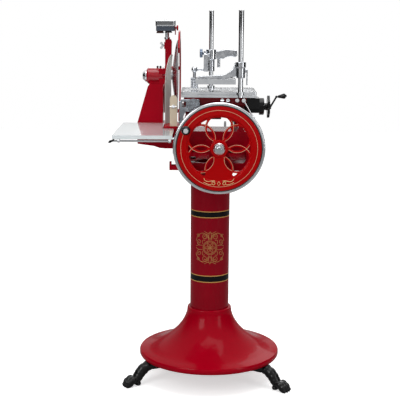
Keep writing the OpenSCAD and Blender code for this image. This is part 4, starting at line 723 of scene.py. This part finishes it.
chrome = metal("chrome", rgb(238, 240, 242), rgb(220, 222, 226), 0.05, 0.06, height=0.0000004,
               rub_and_shade_edge_colour=rgb(150, 148, 146), rub_and_shade_amount=0.2)
dress(red_enamel, "blade_column")
housing_red = paint("housing_enamel", rgb(166, 0, 26), rgb(150, 0, 21), smooth=0.1, rough=0.2, coat=0.7,
                    sheen=0.2, dusty=0.0)
dress(housing_red, "hub_housing", sharp=0.5)
dress(chrome, "hub_end_cap", sharp=0.4)
black_gloss = paint("black_gloss", rgb(12, 12, 14), rgb(6, 6, 8), smooth=0.1, rough=0.22, coat=0.25,
                    height=0.00003, worn=rgb(60, 58, 56), dusty=0.02, sheen=0.15)
dress(black_gloss, "oil_cups", sharp=0.7)


# ---------- Blade and its guard ----------
# The 300 mm blade is stainless steel, dished and hollow-ground in rings. A thin red cast ring guards its back
# and top, held to the column by two arms.

blade_axis = (0, 0.280, 1.204)
stainless = metal("stainless", rgb(198, 200, 202), rgb(168, 170, 173), 0.14, 0.28, axis=(blade_axis, (0, 1, 1)),
                  height=0.00004, size=330.0)
dress(stainless, "blade", "blade_shaft", sharp=0.5)
dress(red_enamel, "blade_ring_guard", sharp=0.5)


# ---------- Slice deflector, front guard and their foot ----------
# A bent steel sheet in a satin grey finish throws the slices onto the tray. An ivory-enamelled strip stands
# in front of it on a red foot, pinned by a small chromed lever.

def soften(name, material, body, slot, voxel, rounds, *cad):
    """the CAD's own piece, with the small radii that casting, filing and plating leave on every edge"""
    bm = bmesh.new()
    for node in cad:
        bm.from_mesh(nodes[node].data)
    bmesh.ops.remove_doubles(bm, verts=bm.verts, dist=0.00002)
    mesh = bpy.data.meshes.new(name)
    bm.to_mesh(mesh)
    bm.free()
    return new_piece(name, remeshed(name, mesh, voxel * mm, rounds), material, body, slot, *cad)


sheet_steel = paint("satin_sheet", rgb(204, 200, 194), rgb(186, 182, 176), smooth=0.3, rough=0.45, coat=0.2,
                    ripple=520.0, height=0.00004, worn=rgb(150, 146, 140), rub_and_shade_amount=0.4)
ivory = paint("ivory_enamel", rgb(222, 208, 184), rgb(208, 192, 166), smooth=0.2, rough=0.35, coat=0.7,
              worn=rgb(150, 134, 112), rub_and_shade_amount=0.4)
dress(sheet_steel, "slice_deflector", sharp=0.9)
dress(ivory, "front_guard")
soften("guard_foot_cast", red_enamel, "stand", "red_enamel", 1.3, 3, "guard_foot")
dress(chrome, "guard_pin")


# ---------- Slice tray ----------
# A folded tray of white-enamelled steel sheet rests on two bright rods, which black hooks hold at its left
# edge.

tray_steel = paint("tray_enamel", rgb(232, 238, 240), rgb(218, 226, 229), smooth=0.08, rough=0.16, coat=0.8,
                   ripple=420.0, height=0.00001, worn=rgb(150, 152, 155), rub_and_shade_amount=0.3, sheen=0.5)
dress(tray_steel, "slice_tray")
dress(chrome, "tray_rod")
dress(black_gloss, "tray_catches")


# ---------- Sharpener ----------
# A grey cast box under a chromed cover turns on a bright post, with two stones on spindles below it. A red
# knob with a short lever and a wing screw go with it.

box_grey = paint("box_grey", rgb(74, 82, 94), rgb(52, 58, 68), smooth=0.22, rough=0.4, coat=0.3, ripple=300.0,
                 height=0.00012, pits=0.4, worn=rgb(160, 164, 168), rub_and_shade_amount=0.6)
coarse_stone = paint("coarse_stone", rgb(96, 54, 44), rgb(58, 30, 25), smooth=0.7, rough=0.9, coat=0.0,
                     ripple=900.0, height=0.0006, pits=0.8, worn=rgb(128, 84, 70), patch=160.0)
fine_stone = paint("fine_stone", rgb(78, 72, 70), rgb(46, 42, 42), smooth=0.7, rough=0.9, coat=0.0,
                   ripple=1100.0, height=0.0005, pits=0.8, worn=rgb(110, 104, 100), patch=180.0)
dress(chrome, "sharpener_post", "wing_screw")
soften("sharpener_lid", chrome, "sharpener", "chrome", 1.1, 2, "sharpener_cover")
soften("sharpener_box", box_grey, "sharpener", "cast_grey", 1.2, 2, "sharpener_head")
dress(coarse_stone, "grinding_stone")
dress(fine_stone, "honing_stone")
dress(red_enamel, "sharpener_lever")


# ---------- Guide rails ----------
# Two ground and chromed bars that the carriage runs along, seated in the four stands of the base.

rail_chrome = metal("rail_chrome", rgb(226, 228, 230), rgb(206, 208, 211), 0.05, 0.12, streaks=(1, 0.02, 1),
                    height=0.000006, size=420.0)
dress(rail_chrome, "guide_rails")


# ---------- Carriage ----------
# A dark red cast frame on four rail bearings, with a polished plate on top, a black feed box on the right,
# and a bright bracket with the slice-thickness dial and a lever at the front.

dark_red = paint("dark_red_enamel", rgb(96, 8, 16), rgb(66, 4, 10), smooth=0.14, rough=0.28, coat=0.16,
                 sheen=0.06, dusty=0.01)
polished = metal("polished_plate", rgb(236, 238, 240), rgb(196, 199, 204), 0.06, 0.14, streaks=(0.03, 1, 1),
                 height=0.000008, size=380.0)
soften("carriage_cast", dark_red, "carriage", "dark_red_enamel", 2.0, 2, "carriage_frame")
dress(chrome, "carriage_bolts", "release_lever")
# chrome for the dial and its bracket: the large dark cloudy patches are painted shade and painted reflections, and the
# dark edges are painted shade lines
bracket_chrome_painted_shade = metal("bracket_chrome_painted_shade", rgb(206, 212, 220), rgb(44, 48, 56), 0.05, 0.14, height=0.00001,
                       size=150.0, patch=46.0, rub_and_shade_edge_colour=rgb(50, 52, 56), rub_and_shade_amount=0.9, soft=0.003)
dress(bracket_chrome_painted_shade, "thickness_dial")
soften("index_bracket_cast", bracket_chrome_painted_shade, "carriage", "chrome", 0.9, 2, "index_bracket")

# the dial's scale: thirty engraved strokes filled with black, every fifth one longer
dial_x, dial_y, dial_z = -69, -174, 1118
stroke_end = 25.4
strokes = []
for k in range(30):
    turned = math.radians(12 * k)
    inner = 22.6 if k % 5 == 0 else 23.8
    strokes.append([(reach * math.cos(turned), reach * math.sin(turned)) for reach in (inner, stroke_end)])
scale_wires = wires(strokes, lambda x, z: ((dial_x + x) * mm, dial_y * mm, (dial_z + z) * mm))
scale_marks = grow("dial_scale", scale_wires, painted_line, Radius=0.45 * mm, Sides=6, Material=black_gloss)
new_piece("dial_scale", even(scale_marks, 1.4), black_gloss, "dial", "chrome")
dress(polished, "guide_plate")
dress(black_gloss, "feed_box")


# ---------- Meat table and feed ----------
# A grooved polished table slides on the guide plate, drawn by a screw, plain here, that a black star wheel
# and its bent handle turn. Two bright posts stand on the table.

dress(polished, "meat_table")
dress(chrome, "clamp_posts", sharp=0.5)
dress(black_gloss, "feed_grip")
soften("feed_wheel_cast", black_gloss, "feed", "black_cast", 0.9, 3, "feed_wheel")
dress(cross_steel, "feed_screw")


# ---------- Clamps ----------
# The swept press arm and its plate slide on the front post; a chromed bracket with an arched arm, a toothed
# gripper and a star grip slides on the rear post.

# chrome for the press arm and clamp bracket: the light and dark cloudy patches are painted reflections, and the dark
# edges are painted shade lines
chrome_painted_reflections = metal("chrome_painted_reflections", rgb(246, 247, 249), rgb(140, 146, 156), 0.06, 0.16, height=0.00001,
                    size=150.0, patch=34.0, rub_and_shade_edge_colour=rgb(70, 72, 76), rub_and_shade_amount=0.9, soft=0.003)
dress(polished, "press_plate")
soften("press_arm_cast", chrome_painted_reflections, "press", "chrome", 1.2, 3, "press_arm")
soften("clamp_bracket_cast", chrome_painted_reflections, "clamp", "chrome", 1.2, 2, "clamp_bracket")
star_blue = metal("blued_steel", rgb(128, 140, 158), rgb(92, 102, 120), 0.14, 0.3)
soften("star_grip_cast", star_blue, "clamp_knob", "black_grip", 0.8, 3, "star_grip")


# ---------- Flywheel ----------
# Cast-iron wheel with interlaced rings, red enamel with hand-lined cream stripes, a bright tyre shrunk on the
# rim, a chromed hub nut, and a black crank grip turning on a bright pin.

wheel_red = paint("wheel_enamel", rgb(178, 0, 3), rgb(162, 0, 2), coat=0.12, sheen=0.06, dusty=0.01)
soften("flywheel_wheel", wheel_red, "flywheel_assembly", "red_enamel", 1.5, 3, "flywheel")
soften("tyre_rounded", chrome, "flywheel_assembly", "chrome", 1.3, 10, "flywheel_tyre")
soften("hub_nut", chrome, "flywheel_assembly", "chrome", 0.6, 6, "flywheel_nut")
dress(chrome, "crank_pin", sharp=0.5)
dress(black_gloss, "crank_grip", sharp=0.5)

# hand lining, as flat paths round the wheel's centre
face_y, rim_y = -234 * mm, -238 * mm
ring_at, ring_r, rib = 77, 50, 8
centres = {a: (ring_at * math.cos(math.radians(a)), ring_at * math.sin(math.radians(a)))
           for a in range(30, 360, 60)}
lining = []
for a, centre in centres.items():
    stroke = []
    for step in range(181):
        turned = math.radians(a + 2 * step)
        reach = ring_r + rib / 2 - 1.3
        spot = (centre[0] + reach * math.cos(turned), centre[1] + reach * math.sin(turned))
        near_web = math.dist(spot, centres[270]) < ring_r + 1
        if a in (210, 330) and near_web:
            spot = (centre[0] + (ring_r - 2.4) * math.cos(turned), centre[1] + (ring_r - 2.4) * math.sin(turned))
        in_opening = min(math.dist(spot, centres[210]), math.dist(spot, centres[330])) < ring_r - rib / 2 - 0.5
        wanted = 35 < math.hypot(*spot) < 115 and (a != 270 or in_opening)
        if wanted and (not stroke or math.dist(stroke[-1], spot) < 4):
            stroke.append(spot)
        elif len(stroke) > 2:
            lining.append(stroke)
            stroke = []
        else:
            stroke = []
    if len(stroke) > 2:
        lining.append(stroke)


def on_wheel(y):
    """lays flat paths, drawn round the wheel's centre, on an upright plane"""
    return lambda x, z: (wheel_x + x * mm, y, wheel_z + z * mm)


cream = paint("lining_cream", rgb(226, 176, 140), rgb(208, 150, 116), smooth=0.2, rough=0.35, coat=0.6, rub_and_shade_amount=0.1)
band_lines = grow("band_lining", wires(lining, on_wheel(face_y - 0.0001)),
                  painted_line, Radius=0.9 * mm, Sides=6, Material=cream)
new_piece("band_lining", even(band_lines, 1.4), cream, "flywheel_assembly", "red_enamel")
rim_line = grow("rim_lining", wires([arc(0, 0, 143.5, 0, 360, 160)], on_wheel(rim_y)),
                painted_line, Radius=0.9 * mm, Sides=6, Material=cream)
new_piece("rim_lining", even(rim_line, 1.4), cream, "flywheel_assembly", "red_enamel")
# a black ring where the rim meets the tyre: painted shade standing for the dark gap between them
gap_shade_enamel = paint("painted_gap_shade", rgb(20, 12, 14), rgb(10, 8, 9), smooth=0.2, rough=0.35, coat=0.3)
gap_shade_mesh = grow("edge_lining", wires([arc(0, 0, 160.6, 0, 360, 160)], on_wheel(-236 * mm)),
                 painted_line, Radius=2.0 * mm, Sides=8, Material=gap_shade_enamel)
new_piece("edge_lining", even(gap_shade_mesh, 1.4), gap_shade_enamel, "flywheel_assembly", "red_enamel")

# a gilt scroll along the foot of the rim, wrapped round it: across is measured along the arc
pale_gilt = paint("pale_gilt", rgb(238, 208, 150), rgb(222, 184, 122), smooth=0.25, rough=0.4, coat=0.6,
                  worn=rgb(170, 120, 70))
scroll_r = 131
scroll = [[(0, -8), (-6, 0), (0, 8), (6, 0), (0, -8)]]
for sx in (-1, 1):
    for curl in (volute(19, 0, 9, 3, 110, -420), bezier((16, 9), (34, 12), (44, -10), (62, 7)),
                 bezier((26, -6), (36, -11), (48, -6), (56, -7))):
        scroll.append([(sx * x, z) for x, z in curl])


def on_rim(x, z):
    turned = x / scroll_r
    return (wheel_x + (scroll_r - z) * math.sin(turned) * mm, rim_y,
            wheel_z - (scroll_r - z) * math.cos(turned) * mm)


gilt_scroll = grow("wheel_scroll", wires(scroll, on_rim), painted_line, Radius=1.15 * mm, Sides=6,
                   Material=pale_gilt)
new_piece("wheel_scroll", even(gilt_scroll, 1.4), pale_gilt, "flywheel_assembly", "red_enamel")
